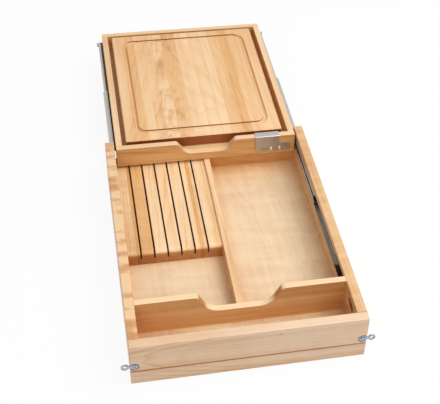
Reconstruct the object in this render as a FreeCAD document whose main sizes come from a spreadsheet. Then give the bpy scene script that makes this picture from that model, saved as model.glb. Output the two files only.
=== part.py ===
import FreeCAD, Part
import os
import re
import Sketcher

# A maple drawer for a kitchen cabinet. A laminated block in its left half holds six knives on edge,
# a scooped divider parts off a tray for small things at the front, and a second, shallow tray above
# carries a cutting board. The upper tray runs back and forth on two ball bearing slides let into
# the drawer's sides, and a sliding steel keeper rides on its front wall. Two figure-eight clips at
# the front corners take the screws of the cabinet's own drawer front.
#
# +X is to the right, +Z is up and the drawer's front faces -Y. The upper tray is modelled fully
# back. The origin lies on the underside, below the middle of the whole in that position.

# Driving sizes in millimetres: name in the sheet, value, what it measures.
SIZES = (
    ("front_y", -419.45, "Y of the drawer's front face"),
    ("drawer_width", 368.3, "outside width of the drawer box"),
    ("drawer_depth", 482.6, "outside depth of the drawer box"),
    ("drawer_height", 85.7, "height of the front and the sides"),
    ("wall", 15.9, "thickness of front, sides and back"),
    ("back_height", 47.2, "height of the back, low enough for the upper tray"),
    ("lap", 5.6, "wood left in front of the half-blind tails"),
    ("front_tail", 21.0, "width of a tail at its end, front corners"),
    ("back_tail", 17.5, "width of a tail at its end, back corners"),
    ("tail_flare", 1.6, "how much a tail widens on each side"),
    ("floor_low", 12.7, "underside of the drawer's floor"),
    ("floor_thick", 5.5, "thickness of both plywood floors"),
    ("floor_groove", 6.35, "depth of the groove that holds the drawer's floor"),
    ("ease", 1.2, "radius on the handled edges of the box"),
    ("bead_top", 30.9, "upper edge of the groove across the front face"),
    ("bead_wide", 3.4, "width of that groove"),
    ("bead_deep", 1.6, "depth of that groove"),
    ("divider_y", 82.4, "front face of the scooped divider, from the drawer's front"),
    ("board_thick", 10.7, "thickness of divider and partition"),
    ("divider_scoop_top", 135.5, "width of the divider's scoop at the top"),
    ("divider_scoop_flat", 98.0, "width of the scoop's level bottom"),
    ("divider_scoop_low", 50.8, "height of the scoop's bottom above the underside"),
    ("divider_scoop_x", -2.2, "middle of the scoop"),
    ("divider_shoulder", 9.0, "radius at the top of the scoop"),
    ("divider_root", 30.0, "radius at the bottom of the scoop"),
    ("partition_x", -5.9, "left face of the centre partition"),
    ("partition_top", 47.2, "top of the centre partition"),
    ("block_y", 231.9, "front end of the knife block, from the drawer's front"),
    ("block_tall", 25.0, "height of the knife block"),
    ("block_nose", 9.5, "radius on the block's front edge"),
    ("kerf_wide", 3.0, "width of a knife slot"),
    ("kerf_deep", 14.2, "depth of a knife slot"),
    ("kerf_first", 22.35, "first knife slot, from the block's left side"),
    ("kerf_pitch", 22.8, "distance from slot to slot"),
    ("kerf_count", 6, "number of knife slots"),
    ("recess_y", 52.5, "middle of the oval recess, from the drawer's front"),
    ("recess_z", 62.7, "middle of the oval recess"),
    ("recess_long", 28.0, "length of the oval recess"),
    ("recess_tall", 17.0, "height of the oval recess"),
    ("recess_deep", 12.7, "depth of the oval recess"),
    ("recess_rim", 1.5, "chamfer on its rim"),
    ("tray_width", 330.2, "outside width of the upper tray"),
    ("tray_depth", 384.2, "outside depth of the upper tray"),
    ("tray_height", 39.0, "height of the upper tray"),
    ("tray_wall", 11.1, "thickness of its walls"),
    ("tray_y", 456.4, "its front face when it is fully back, from the drawer's front"),
    ("tray_z", 49.0, "its underside"),
    ("tray_lap", 3.6, "wood left in front of the tray's half-blind tails"),
    ("tray_tail", 13.5, "width of a tail at its end, corners of the tray"),
    ("tray_floor_low", 10.0, "underside of the tray's floor above the tray's underside"),
    ("tray_groove", 5.5, "depth of the groove that holds the tray's floor"),
    ("tray_ease", 1.0, "radius on the tray's upper edges"),
    ("tray_scoop_top", 108.6, "width of the tray's scoop at the top"),
    ("tray_scoop_x", -0.7, "middle of the tray's scoop"),
    ("tray_scoop_flat", 72.6, "width of its level bottom"),
    ("tray_scoop_low", 15.8, "height of its bottom above the tray's underside"),
    ("tray_shoulder", 8.0, "radius at the top of the tray's scoop"),
    ("tray_root", 20.0, "radius at the bottom of the tray's scoop"),
    ("cutting_width", 290.6, "width of the cutting board"),
    ("cutting_depth", 347.5, "depth of the cutting board"),
    ("cutting_thick", 23.5, "thickness of the cutting board"),
    ("cutting_x", -146.0, "its left edge"),
    ("cutting_y", 478.3, "its front edge, from the drawer's front"),
    ("cutting_edge", 1.6, "chamfer round its faces"),
    ("cutting_corner", 2.5, "radius of its upright corners"),
    ("juice_inset", 23.8, "middle of the juice groove, from the board's edge"),
    ("juice_bend", 19.0, "radius of the juice groove's corners"),
    ("juice_wide", 9.5, "width of the juice groove"),
    ("juice_deep", 4.0, "depth of the juice groove"),
    ("juice_knee_wide", 7.6, "its width where its walls turn towards the bottom"),
    ("juice_knee_deep", 2.2, "depth of that turn"),
    ("juice_flat", 3.4, "width of its level bottom"),
    ("slide_z", 63.3, "middle height of the slides"),
    ("channel_tall", 28.5, "height of the channel let into each side"),
    ("channel_deep", 9.55, "depth of that channel"),
    ("channel_y", 97.0, "front end of that channel, from the drawer's front"),
    ("channel_bend", 6.35, "radius in the channel's end corners"),
    ("steel", 1.1, "thickness of the slide's steel"),
    ("slide_bend", 0.8, "outer radius where the steel is folded"),
    ("member_long", 356.0, "length of a slide member"),
    ("outer_y", 124.0, "front end of the outer member, from the drawer's front"),
    ("outer_tall", 27.0, "height of the outer member"),
    ("outer_reach", 9.4, "how far the outer member stands out of the channel's bottom"),
    ("outer_lip", 2.2, "height of the outer member's lips"),
    ("middle_y", 303.0, "front end of the middle member, from the drawer's front"),
    ("middle_gap", 2.2, "channel's bottom to the back of the middle member"),
    ("middle_reach", 9.8, "channel's bottom to the front of the middle member"),
    ("middle_tall", 19.2, "height of the middle member's flanges"),
    ("middle_rim", 1.3, "height of the rims that keep the balls in"),
    ("inner_y", 491.5, "front end of the inner member, from the drawer's front"),
    ("inner_long", 346.5, "length of the inner member"),
    ("inner_gap", 4.5, "channel's bottom to the edge of the inner member's flanges"),
    ("inner_reach", 12.7, "channel's bottom to the tray's side"),
    ("inner_tall", 11.4, "height of the inner member"),
    ("inner_nose", 3.0, "radius on the inner member's back end"),
    ("cage", 0.7, "thickness of a ball cage"),
    ("cage_long", 158.0, "length of a ball cage"),
    ("outer_cage_y", 312.0, "front end of the outer cage, from the drawer's front"),
    ("outer_cage_gap", 1.25, "channel's bottom to the outer cage"),
    ("outer_cage_reach", 6.6, "channel's bottom to the outer cage's edges"),
    ("outer_cage_tall", 22.7, "height of the outer cage"),
    ("outer_ball_u", 4.6, "channel's bottom to the middle of the outer balls"),
    ("inner_cage_y", 494.0, "front end of the inner cage, from the drawer's front"),
    ("inner_cage_gap", 3.5, "channel's bottom to the inner cage"),
    ("inner_cage_reach", 9.2, "channel's bottom to the inner cage's edges"),
    ("inner_cage_tall", 14.9, "height of the inner cage"),
    ("inner_ball_u", 7.4, "channel's bottom to the middle of the inner balls"),
    ("ball", 1.3, "radius of a ball"),
    ("ball_play", 0.1, "play round a ball in its cage"),
    ("ball_count", 3, "balls in each row"),
    ("ball_pitch", 62.0, "distance from ball to ball"),
    ("stop_y", 100.0, "front end of the plastic stop, from the drawer's front"),
    ("stop_long", 23.5, "length of the plastic stop"),
    ("stop_wall", 2.0, "thickness of the stop's back and cheeks"),
    ("plug_long", 8.0, "length of the plastic plug in the middle member's front end"),
    ("slot_long", 12.0, "length of a slot in a slide member"),
    ("slot_tall", 5.0, "height of a slot in a slide member"),
    ("slot_first", 60.0, "first slot, from the member's front end"),
    ("slot_pitch", 226.0, "distance from slot to slot"),
    ("slot_count", 2, "slots in each member"),
    ("pan_head", 3.6, "radius of a pan head"),
    ("pan_tall", 1.7, "height of a pan head"),
    ("pan_shank", 1.93, "radius of a pan head screw"),
    ("keeper_x", 91.0, "left edge of the keeper"),
    ("keeper_z", 55.0, "lower edge of the keeper"),
    ("keeper_wide", 44.5, "width of the keeper's plate"),
    ("keeper_long", 66.0, "length of the keeper with its arm"),
    ("keeper_arm", 17.0, "height of the arm"),
    ("keeper_sheet", 1.4, "thickness of the keeper's sheet"),
    ("keeper_play", 0.1, "play between the keeper and the tray"),
    ("keeper_lip", 13.6, "how far the keeper's lip reaches over the tray's wall"),
    ("keeper_nose", 6.5, "radius at the arm's end"),
    ("keeper_corner", 4.5, "radius of the keeper's other corners"),
    ("keeper_slot_x", 10.0, "start of the keeper's slot from its left edge"),
    ("keeper_slot_long", 42.0, "length of the keeper's slot"),
    ("keeper_slot_z", 5.7, "middle of the slot above the keeper's lower edge"),
    ("keeper_slot_round", 2.1, "half the height of the slot"),
    ("keeper_screw_x", 121.1, "the keeper's left screw"),
    ("keeper_screw_pitch", 16.1, "distance between the keeper's screws"),
    ("keeper_screw_long", 6.5, "length of the keeper's screws in the wood"),
    ("clip_x", 177.8, "screw of a front clip, from the middle"),
    ("clip_z", 40.0, "height of the clips"),
    ("clip_pitch", 14.4, "distance between the clip's two eyes"),
    ("clip_eye", 6.0, "outer radius of an eye"),
    ("clip_hole", 3.0, "radius of the hole for a stranger's screw"),
    ("clip_bore", 2.0, "radius of the hole for the clip's own screw"),
    ("clip_neck", 5.0, "width of the clip between its eyes"),
    ("clip_thick", 2.0, "thickness of the clip"),
    ("clip_sink", 0.2, "how far the clip lies behind the front face"),
    ("clip_seat", 7.75, "radius of the seat for a clip"),
    ("clip_seat_deep", 2.4, "depth of that seat"),
    ("clip_screw_long", 12.0, "length of a clip screw behind its head"),
)
NAMES = {name for name, size, meaning in SIZES}

doc = FreeCAD.newDocument("knife_and_cutting_board_drawer")
sheet = doc.addObject("Spreadsheet::Sheet", "sizes")
for row, (name, size, meaning) in enumerate(SIZES, start=1):
    sheet.set(f"A{row}", meaning)
    sheet.set(f"B{row}", str(size))
    sheet.setAlias(f"B{row}", name)
doc.recompute()

subparts = []


# Tools for binding objects to the sheet


def cell(formula):
    """The formula with each name of the sheet written as the sheet's own cell."""
    return re.sub("[a-z_]+", lambda word: "sizes." + word[0] if word[0] in NAMES else word[0], formula)


def value(formula):
    """What the formula comes to now, in millimetres."""
    return float(sheet.evalExpression(cell(formula)))


def place(thing, x="0", y="0", z="0"):
    """Put an object's own origin at a point."""
    for axis, formula in zip("xyz", (x, y, z)):
        thing.setExpression(f"Placement.Base.{axis}", cell(formula))


def named(thing, label):
    """Give a finished sub-part its name and list it."""
    thing.Label = label
    subparts.append(thing)
    return thing


def new_body(name, x="0", y="0", z="0"):
    body = doc.addObject("PartDesign::Body", name)
    place(body, x, y, z)
    return body


def new_sketch(body, role, name, lift="0"):
    """A sketch on one of the body's own planes, moved along the plane's normal."""
    sketch = body.newObject("Sketcher::SketchObject", name)
    plane = next(part for part in body.Origin.OriginFeatures if part.Role == role)
    sketch.AttachmentSupport = [(plane, "")]
    sketch.MapMode = "FlatFace"
    sketch.setExpression("AttachmentOffset.Base.z", cell(lift))
    return sketch


def bind(sketch, kind, formula, *geometry):
    """Add a dimension to the sketch and bind it to the sheet."""
    index = sketch.addConstraint(Sketcher.Constraint(kind, *geometry, value(formula)))
    sketch.setExpression(f"Constraints[{index}]", cell(formula))


def bind_point(sketch, x, y, curve, point):
    bind(sketch, "DistanceX", x, -1, 1, curve, point)
    bind(sketch, "DistanceY", y, -1, 1, curve, point)


def outline(sketch, points):
    """A closed outline of straight lines through points given as pairs of formulas."""
    corners = [FreeCAD.Vector(value(x), value(y), 0) for x, y in points]
    first = sketch.GeometryCount
    count = len(points)
    for k in range(count):
        sketch.addGeometry(Part.LineSegment(corners[k], corners[(k + 1) % count]))
    for k in range(count):
        sketch.addConstraint(Sketcher.Constraint("Coincident", first + k, 2, first + (k + 1) % count, 1))
    for k, (x, y) in enumerate(points):
        bind_point(sketch, x, y, first + k, 1)


def rectangle(sketch, left, right, low, high):
    outline(sketch, [(left, low), (right, low), (right, high), (left, high)])


def circle(sketch, x, y, radius):
    centre = FreeCAD.Vector(value(x), value(y), 0)
    index = sketch.addGeometry(Part.Circle(centre, FreeCAD.Vector(0, 0, 1), value(radius)))
    bind_point(sketch, x, y, index, 3)
    bind(sketch, "Radius", radius, index)


def oval(sketch, left, right, y, radius):
    """A level slot with round ends; left and right are the middles of its ends."""
    ends = [FreeCAD.Vector(value(x), value(y), 0) for x in (left, right)]
    up = FreeCAD.Vector(0, value(radius), 0)
    out = FreeCAD.Vector(value(radius), 0, 0)
    first = sketch.GeometryCount
    sketch.addGeometry(Part.Arc(ends[0] + up, ends[0] - out, ends[0] - up))
    sketch.addGeometry(Part.LineSegment(ends[0] - up, ends[1] - up))
    sketch.addGeometry(Part.Arc(ends[1] - up, ends[1] + out, ends[1] + up))
    sketch.addGeometry(Part.LineSegment(ends[1] + up, ends[0] + up))
    for k, x in ((first, left), (first + 2, right)):
        bind_point(sketch, x, y, k, 3)
        bind(sketch, "Radius", radius, k)
    for curve, point, line, start in ((0, 2, 1, 1), (2, 1, 1, 2), (2, 2, 3, 1), (0, 1, 3, 2)):
        joint = Sketcher.Constraint("Tangent", first + curve, point, first + line, start)
        sketch.addConstraint(joint)


def pad(body, sketch, length, reverse=False):
    """Raise the sketch by a length along its normal, or against it."""
    feature = body.newObject("PartDesign::Pad", sketch.Name + "_pad")
    feature.Profile = sketch
    feature.Reversed = reverse
    feature.setExpression("Length", cell(length))
    doc.recompute()
    return feature


def pocket(body, sketch, length, reverse=False):
    """Sink the sketch by a length against its normal, or along it."""
    before = body.Shape.Volume
    feature = body.newObject("PartDesign::Pocket", sketch.Name + "_pocket")
    feature.Profile = sketch
    feature.Reversed = reverse
    feature.setExpression("Length", cell(length))
    doc.recompute()
    if body.Shape.Volume > before - 1e-3:
        raise RuntimeError(sketch.Name + " cuts nothing")
    return feature


def repeat(body, feature, axis, length, count):
    """Repeat a feature in a row along one of its sketch's axes."""
    pattern = body.newObject("PartDesign::LinearPattern", feature.Name + "_row")
    pattern.Originals = [feature]
    pattern.Direction = (feature.Profile[0], [axis])
    pattern.setExpression("Length", cell(length))
    pattern.setExpression("Occurrences", cell(count))
    body.Tip = pattern
    doc.recompute()


def dress(body, kind, size, test):
    """Round ("Fillet") or bevel ("Chamfer") the edges of the body that pass the test."""
    base = body.Tip
    edges = [f"Edge{n}" for n, edge in enumerate(base.Shape.Edges, start=1) if test(edge)]
    if not edges:
        raise RuntimeError(f"{body.Name} has no edge to dress")
    feature = body.newObject("PartDesign::" + kind, f"{body.Name}_{kind.lower()}")
    feature.Base = (base, edges)
    feature.setExpression({"Fillet": "Radius", "Chamfer": "Size"}[kind], cell(size))
    doc.recompute()


def runs(edge, axis):
    """Whether an edge is straight and parallel to an axis."""
    box = edge.BoundBox
    spans = {"x": box.XLength, "y": box.YLength, "z": box.ZLength}
    return isinstance(edge.Curve, Part.Line) and abs(spans[axis] - edge.Length) < 1e-4


def at(edge, **places):
    """Whether an edge's middle has these coordinates, given as formulas."""
    middle = edge.CenterOfMass
    return all(abs(getattr(middle, axis) - value(where)) < 1e-3 for axis, where in places.items())


def box(name, x, y, z, length, width, height):
    solid = doc.addObject("Part::Box", name)
    for size, formula in (("Length", length), ("Width", width), ("Height", height)):
        solid.setExpression(size, cell(formula))
    place(solid, x, y, z)
    return solid


def group(name, solids):
    """Several separate solids as one object."""
    bundle = doc.addObject("Part::Compound", name)
    bundle.Links = solids
    doc.recompute()
    return bundle


def cut(name, base, *tools):
    """The base without the space of each tool."""
    result = doc.addObject("Part::Cut", name)
    result.Base = base
    result.Tool = tools[0] if len(tools) == 1 else group(name + "_room", tools)
    doc.recompute()
    return result


def mirrored(name, source):
    """The source on the other side of the middle."""
    twin = doc.addObject("Part::Mirroring", name)
    twin.Source = source
    twin.Normal = FreeCAD.Vector(1, 0, 0)
    doc.recompute()
    return twin


# Screws

TO_BACK = FreeCAD.Rotation(FreeCAD.Vector(1, 0, 0), -90)


def pan_screw(name, x, y, z, length):
    """A screw that points back, with the underside of its pan head at y."""
    head = doc.addObject("Part::Cylinder", name + "_head")
    head.setExpression("Radius", cell("pan_head"))
    head.setExpression("Height", cell("pan_tall"))
    head.Placement.Rotation = TO_BACK
    place(head, x, f"{y} - pan_tall", z)
    shank = doc.addObject("Part::Cylinder", name + "_shank")
    shank.setExpression("Radius", cell("pan_shank"))
    shank.setExpression("Height", cell(length))
    shank.Placement.Rotation = TO_BACK
    place(shank, x, y, z)
    screw = doc.addObject("Part::Fuse", name)
    screw.Base = head
    screw.Tool = shank
    return screw


clip_screws = group("clip_screws", [
    pan_screw(f"clip_screw_{side}", f"{sign} clip_x", "front_y", "clip_z", "clip_screw_long")
    for side, sign in (("left", "-"), ("right", "+"))])
keeper_screws = group("keeper_screws", [
    pan_screw(f"keeper_screw_{k}", f"keeper_screw_x + keeper_screw_pitch * {k}",
              "front_y + tray_y - keeper_play * 2 - keeper_sheet", "keeper_z + keeper_slot_z",
              "keeper_screw_long")
    for k in range(2)])


# Joinery shared by the drawer box and the upper tray


def tails(shoulder, tip, height, count, end):
    """Corners of a column of dovetails, from the bottom up, spread evenly over a height."""
    points = []
    for k in range(count):
        middle = f"{height} * {k + 0.5} / {count}"
        points += [
            (shoulder, f"{middle} - {end} / 2 + tail_flare"),
            (tip, f"{middle} - {end} / 2"),
            (tip, f"{middle} + {end} / 2"),
            (shoulder, f"{middle} + {end} / 2 - tail_flare"),
        ]
    return points


def scooped(width, height, middle, top, flat, low):
    """Outline of a board with a scoop in its top edge."""
    return [
        ("0", "0"),
        (width, "0"),
        (width, height),
        (f"{middle} + {top} / 2", height),
        (f"{middle} + {flat} / 2", low),
        (f"{middle} - {flat} / 2", low),
        (f"{middle} - {top} / 2", height),
        ("0", height),
    ]


def round_scoop(body, middle, top, flat, height, low, shoulder, root):
    """Round the two shoulders and the two roots of a scoop."""
    for radius, half, level in ((shoulder, top, height), (root, flat, low)):
        places = [f"{middle} {sign} {half} / 2" for sign in "+-"]
        dress(body, "Fillet", radius, lambda edge: runs(edge, "y") and any(
            at(edge, x=place_x, z=level) for place_x in places))


# Drawer box


def make_side():
    """The right side of the drawer, without its oval recess."""
    body = new_body("side_blank", "drawer_width / 2 - wall", "front_y")
    back = "drawer_depth - wall"
    profile = new_sketch(body, "YZ_Plane", "side_profile")
    outline(profile, [("wall", "0"), (back, "0")]
            + tails(back, "drawer_depth", "back_height", 2, "back_tail")
            + [(back, "back_height"), ("drawer_depth", "back_height"),
               ("drawer_depth", "drawer_height"), ("wall", "drawer_height")]
            + tails("wall", "lap", "drawer_height", 3, "front_tail")[::-1])
    pad(body, profile, "wall")
    dress(body, "Fillet", "ease", lambda edge: runs(edge, "y") and at(edge, z="drawer_height"))
    groove = new_sketch(body, "YZ_Plane", "side_floor_groove")
    rectangle(groove, "wall - floor_groove", f"{back} + floor_groove",
              "floor_low", "floor_low + floor_thick")
    pocket(body, groove, "floor_groove", reverse=True)
    channel = new_sketch(body, "YZ_Plane", "side_channel")
    rectangle(channel, "channel_y", "drawer_depth",
              "slide_z - channel_tall / 2", "slide_z + channel_tall / 2")
    pocket(body, channel, "channel_deep", reverse=True)
    dress(body, "Fillet", "channel_bend", lambda edge: runs(edge, "x") and any(
        at(edge, y="channel_y", z=f"slide_z {sign} channel_tall / 2") for sign in "+-"))
    return body


def make_recess():
    """The space of the oval recess in the right side, with its bevelled rim."""
    body = new_body("recess_room", "drawer_width / 2 - wall", "front_y")
    shape = new_sketch(body, "YZ_Plane", "recess_shape")
    half = "(recess_long - recess_tall) / 2"
    oval(shape, f"recess_y - {half}", f"recess_y + {half}", "recess_z", "recess_tall / 2")
    pad(body, shape, "recess_deep")
    rim = new_sketch(body, "YZ_Plane", "recess_rim_shape")
    oval(rim, f"recess_y - {half}", f"recess_y + {half}", "recess_z", "recess_tall / 2 + recess_rim")
    flare = pad(body, rim, "recess_rim")
    flare.TaperAngle = -45
    doc.recompute()
    return body


def make_front_blank():
    """The front board with the groove across its face, the clips' seats and its eased edges."""
    body = new_body("front_blank", "-drawer_width / 2", "front_y")
    face = new_sketch(body, "XZ_Plane", "front_face")
    rectangle(face, "0", "drawer_width", "0", "drawer_height")
    pad(body, face, "wall", reverse=True)
    dress(body, "Fillet", "ease", lambda edge: (
        (runs(edge, "x") and at(edge, z="drawer_height"))
        or (runs(edge, "y") and at(edge, z="drawer_height"))
        or (runs(edge, "z") and at(edge, y="0"))
        or (runs(edge, "x") and at(edge, y="0", z="0"))))
    bead = new_sketch(body, "XZ_Plane", "front_bead")
    rectangle(bead, "0", "drawer_width", "bead_top - bead_wide", "bead_top")
    pocket(body, bead, "bead_deep")
    seats = new_sketch(body, "XZ_Plane", "clip_seats")
    for sign in "-+":
        circle(seats, f"drawer_width / 2 {sign} clip_x", "clip_z", "clip_seat")
    pocket(body, seats, "clip_seat_deep")
    return body


def make_drawer_box():
    """Front, two sides, back and floor, each cut to fit its neighbours."""
    side = make_side()
    recess = make_recess()
    floor = named(box(
        "drawer_floor", "-drawer_width / 2 + wall - floor_groove", "front_y + wall - floor_groove",
        "floor_low", "drawer_width - (wall - floor_groove) * 2",
        "drawer_depth - (wall - floor_groove) * 2", "floor_thick"), "drawer_floor")
    right = named(cut("drawer_right_side", side, recess, clip_screws), "drawer_right_side")
    twin = mirrored("left_side_blank", side)
    left = named(cut("drawer_left_side", twin, clip_screws), "drawer_left_side")
    named(cut("drawer_front", make_front_blank(), left, right, floor, clip_screws), "drawer_front")
    back = box("back_blank", "-drawer_width / 2", "front_y + drawer_depth - wall", "0",
               "drawer_width", "wall", "back_height")
    named(cut("drawer_back", back, left, right, floor), "drawer_back")


INNER_WIDTH = "(drawer_width - wall * 2)"
FLOOR_TOP = "(floor_low + floor_thick)"


def make_divider():
    """The scooped board that parts off the front of the drawer."""
    body = new_body("scoop_divider", f"-{INNER_WIDTH} / 2", "front_y + divider_y", FLOOR_TOP)
    middle = f"({INNER_WIDTH} / 2 + divider_scoop_x)"
    height, low = f"drawer_height - {FLOOR_TOP}", f"divider_scoop_low - {FLOOR_TOP}"
    profile = new_sketch(body, "XZ_Plane", "divider_profile")
    outline(profile, scooped(INNER_WIDTH, height, middle, "divider_scoop_top",
                             "divider_scoop_flat", low))
    pad(body, profile, "board_thick", reverse=True)
    round_scoop(body, middle, "divider_scoop_top", "divider_scoop_flat", height, low,
                "divider_shoulder", "divider_root")
    named(body, "scoop_divider")


def make_partition():
    """The low board between the knives and the right compartment."""
    body = new_body("centre_partition", "partition_x", "front_y + divider_y + board_thick", FLOOR_TOP)
    long = "drawer_depth - wall - divider_y - board_thick"
    plan = new_sketch(body, "XY_Plane", "partition_plan")
    rectangle(plan, "0", "board_thick", "0", long)
    pad(body, plan, f"partition_top - {FLOOR_TOP}")
    dress(body, "Fillet", "ease", lambda edge: (
        runs(edge, "y") and at(edge, z=f"partition_top - {FLOOR_TOP}")))
    named(body, "centre_partition")


def make_knife_block():
    """The laminated block, round nosed, with its row of knife slots."""
    body = new_body("knife_block", f"-{INNER_WIDTH} / 2", "front_y + block_y", FLOOR_TOP)
    end = new_sketch(body, "YZ_Plane", "block_end")
    rectangle(end, "0", "drawer_depth - wall - block_y", "0", "block_tall")
    pad(body, end, f"{INNER_WIDTH} / 2 + partition_x")
    dress(body, "Fillet", "block_nose", lambda edge: (
        runs(edge, "x") and at(edge, y="0", z="block_tall")))
    kerf = new_sketch(body, "XZ_Plane", "kerf")
    rectangle(kerf, "kerf_first", "kerf_first + kerf_wide", "block_tall - kerf_deep",
              "block_tall + kerf_wide")
    first = pocket(body, kerf, "drawer_depth - wall - block_y")
    repeat(body, first, "H_Axis", "kerf_pitch * (kerf_count - 1)", "kerf_count")
    named(body, "knife_block")


make_drawer_box()
make_divider()
make_partition()
make_knife_block()


# Upper tray and cutting board


def make_tray_side():
    """The right side of the upper tray, with tails at both ends."""
    body = new_body("tray_side_blank", "tray_width / 2 - tray_wall", "front_y + tray_y", "tray_z")
    back = "tray_depth - tray_wall"
    profile = new_sketch(body, "YZ_Plane", "tray_side_profile")
    outline(profile, [("tray_wall", "0"), (back, "0")]
            + tails(back, "tray_depth", "tray_height", 2, "tray_tail")
            + [(back, "tray_height"), ("tray_wall", "tray_height")]
            + tails("tray_wall", "tray_lap", "tray_height", 2, "tray_tail")[::-1])
    pad(body, profile, "tray_wall")
    dress(body, "Fillet", "tray_ease", lambda edge: runs(edge, "y") and at(edge, z="tray_height"))
    return body


def make_tray_front_blank():
    """The upper tray's front with its scoop."""
    body = new_body("tray_front_blank", "-tray_width / 2", "front_y + tray_y", "tray_z")
    middle = "(tray_width / 2 + tray_scoop_x)"
    profile = new_sketch(body, "XZ_Plane", "tray_front_profile")
    outline(profile, scooped("tray_width", "tray_height", middle, "tray_scoop_top",
                             "tray_scoop_flat", "tray_scoop_low"))
    pad(body, profile, "tray_wall", reverse=True)
    round_scoop(body, middle, "tray_scoop_top", "tray_scoop_flat", "tray_height",
                "tray_scoop_low", "tray_shoulder", "tray_root")
    return body


def make_tray():
    """The upper tray: floor, two sides, front and back."""
    side = make_tray_side()
    inset = "(tray_wall - tray_groove)"
    floor = named(box(
        "tray_floor", f"-tray_width / 2 + {inset}", f"front_y + tray_y + {inset}",
        "tray_z + tray_floor_low", f"tray_width - {inset} * 2", f"tray_depth - {inset} * 2",
        "floor_thick"), "tray_floor")
    right = named(cut("tray_right_side", side, floor), "tray_right_side")
    twin = mirrored("tray_left_blank", side)
    left = named(cut("tray_left_side", twin, floor), "tray_left_side")
    named(cut("tray_front", make_tray_front_blank(), left, right, floor, keeper_screws),
          "tray_front")
    back = box("tray_back_blank", "-tray_width / 2", "front_y + tray_y + tray_depth - tray_wall",
               "tray_z", "tray_width", "tray_wall", "tray_height")
    named(cut("tray_back", back, left, right, floor), "tray_back")


def make_cutting_board():
    """The edge-glued board, with a juice groove near its edge."""
    body = new_body("cutting_board", "cutting_x", "front_y + cutting_y",
                    "tray_z + tray_floor_low + floor_thick")
    plan = new_sketch(body, "XY_Plane", "board_plan")
    rectangle(plan, "0", "cutting_width", "0", "cutting_depth")
    pad(body, plan, "cutting_thick")
    dress(body, "Fillet", "cutting_corner", lambda edge: runs(edge, "z"))
    dress(body, "Chamfer", "cutting_edge", lambda edge: (
        at(edge, z="0") or at(edge, z="cutting_thick")))
    path = new_sketch(body, "XY_Plane", "juice_path", "cutting_thick")
    rounded_rectangle(path, "juice_inset", "cutting_width - juice_inset",
                      "juice_inset", "cutting_depth - juice_inset", "juice_bend")
    half = [("juice_wide", "0"), ("juice_knee_wide", "juice_knee_deep"),
            ("juice_flat", "juice_deep")]
    groove = [("-", *corner) for corner in half] + [("+", *corner) for corner in half[::-1]]
    section = new_sketch(body, "YZ_Plane", "juice_section", "juice_inset + juice_bend")
    outline(section, [(f"juice_inset {sign} {wide} / 2", f"cutting_thick - {deep}")
                      for sign, wide, deep in groove])
    doc.recompute()
    before = body.Shape.Volume
    sweep = body.newObject("PartDesign::SubtractivePipe", "juice_groove")
    sweep.Profile = section
    sweep.Spine = (path, [f"Edge{n}" for n in range(1, 9)])
    doc.recompute()
    if body.Shape.Volume > before - 1e3:
        raise RuntimeError("the juice groove cuts nothing")
    named(body, "cutting_board")


def rounded_rectangle(sketch, left, right, low, high, bend):
    """A closed path of four sides and four quarter circles, from the low side round to the left."""
    middles = [(f"{right} - {bend}", f"{low} + {bend}"), (f"{right} - {bend}", f"{high} - {bend}"),
               (f"{left} + {bend}", f"{high} - {bend}"), (f"{left} + {bend}", f"{low} + {bend}")]
    points = [FreeCAD.Vector(value(x), value(y), 0) for x, y in middles]
    out = [FreeCAD.Vector(0, -1, 0), FreeCAD.Vector(1, 0, 0),
           FreeCAD.Vector(0, 1, 0), FreeCAD.Vector(-1, 0, 0)]
    radius = value(bend)
    for k in range(4):
        start = points[k - 1] + out[k] * radius
        end = points[k] + out[k] * radius
        sketch.addGeometry(Part.LineSegment(start, end))
        turn = points[k] + (out[k] + out[(k + 1) % 4]).normalize() * radius
        sketch.addGeometry(Part.Arc(end, turn, points[k] + out[(k + 1) % 4] * radius))
    for k, (x, y) in enumerate(middles):
        bind_point(sketch, x, y, 2 * k + 1, 3)
        bind(sketch, "Radius", bend, 2 * k + 1)
        sketch.addConstraint(Sketcher.Constraint("Tangent", 2 * k, 2, 2 * k + 1, 1))
        sketch.addConstraint(Sketcher.Constraint("Tangent", 2 * k + 1, 2, (2 * k + 2) % 8, 1))


make_tray()
make_cutting_board()


# Ball bearing slides, built for the left side and mirrored for the right. In their sections x is
# the distance from the channel's bottom and y the height above the member's lower edge.


CHANNEL_X = "(drawer_width / 2 - wall + channel_deep)"


def slide_body(name, start, tall, section, long):
    """A straight piece of the left slide with a constant section."""
    body = new_body(name, f"-{CHANNEL_X}", f"front_y + {start}", f"slide_z - {tall} / 2")
    profile = new_sketch(body, "XZ_Plane", name + "_section")
    outline(profile, section)
    pad(body, profile, long, reverse=True)
    return body


def lipped_channel(gap, reach, tall, lip, sheet_thick):
    """A channel open to the tray whose flanges end in lips turned towards each other."""
    near, far = f"{gap} + {sheet_thick}", f"{reach} - {sheet_thick}"
    return [(gap, "0"), (gap, tall), (reach, tall), (reach, f"{tall} - {lip}"),
            (far, f"{tall} - {lip}"), (far, f"{tall} - {sheet_thick}"),
            (near, f"{tall} - {sheet_thick}"), (near, sheet_thick), (far, sheet_thick),
            (far, lip), (reach, lip), (reach, "0")]


def plain_channel(gap, reach, tall, sheet_thick):
    """A channel open to the tray with plain flanges."""
    near = f"{gap} + {sheet_thick}"
    return [(gap, "0"), (gap, tall), (reach, tall), (reach, f"{tall} - {sheet_thick}"),
            (near, f"{tall} - {sheet_thick}"), (near, sheet_thick), (reach, sheet_thick),
            (reach, "0")]


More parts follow.
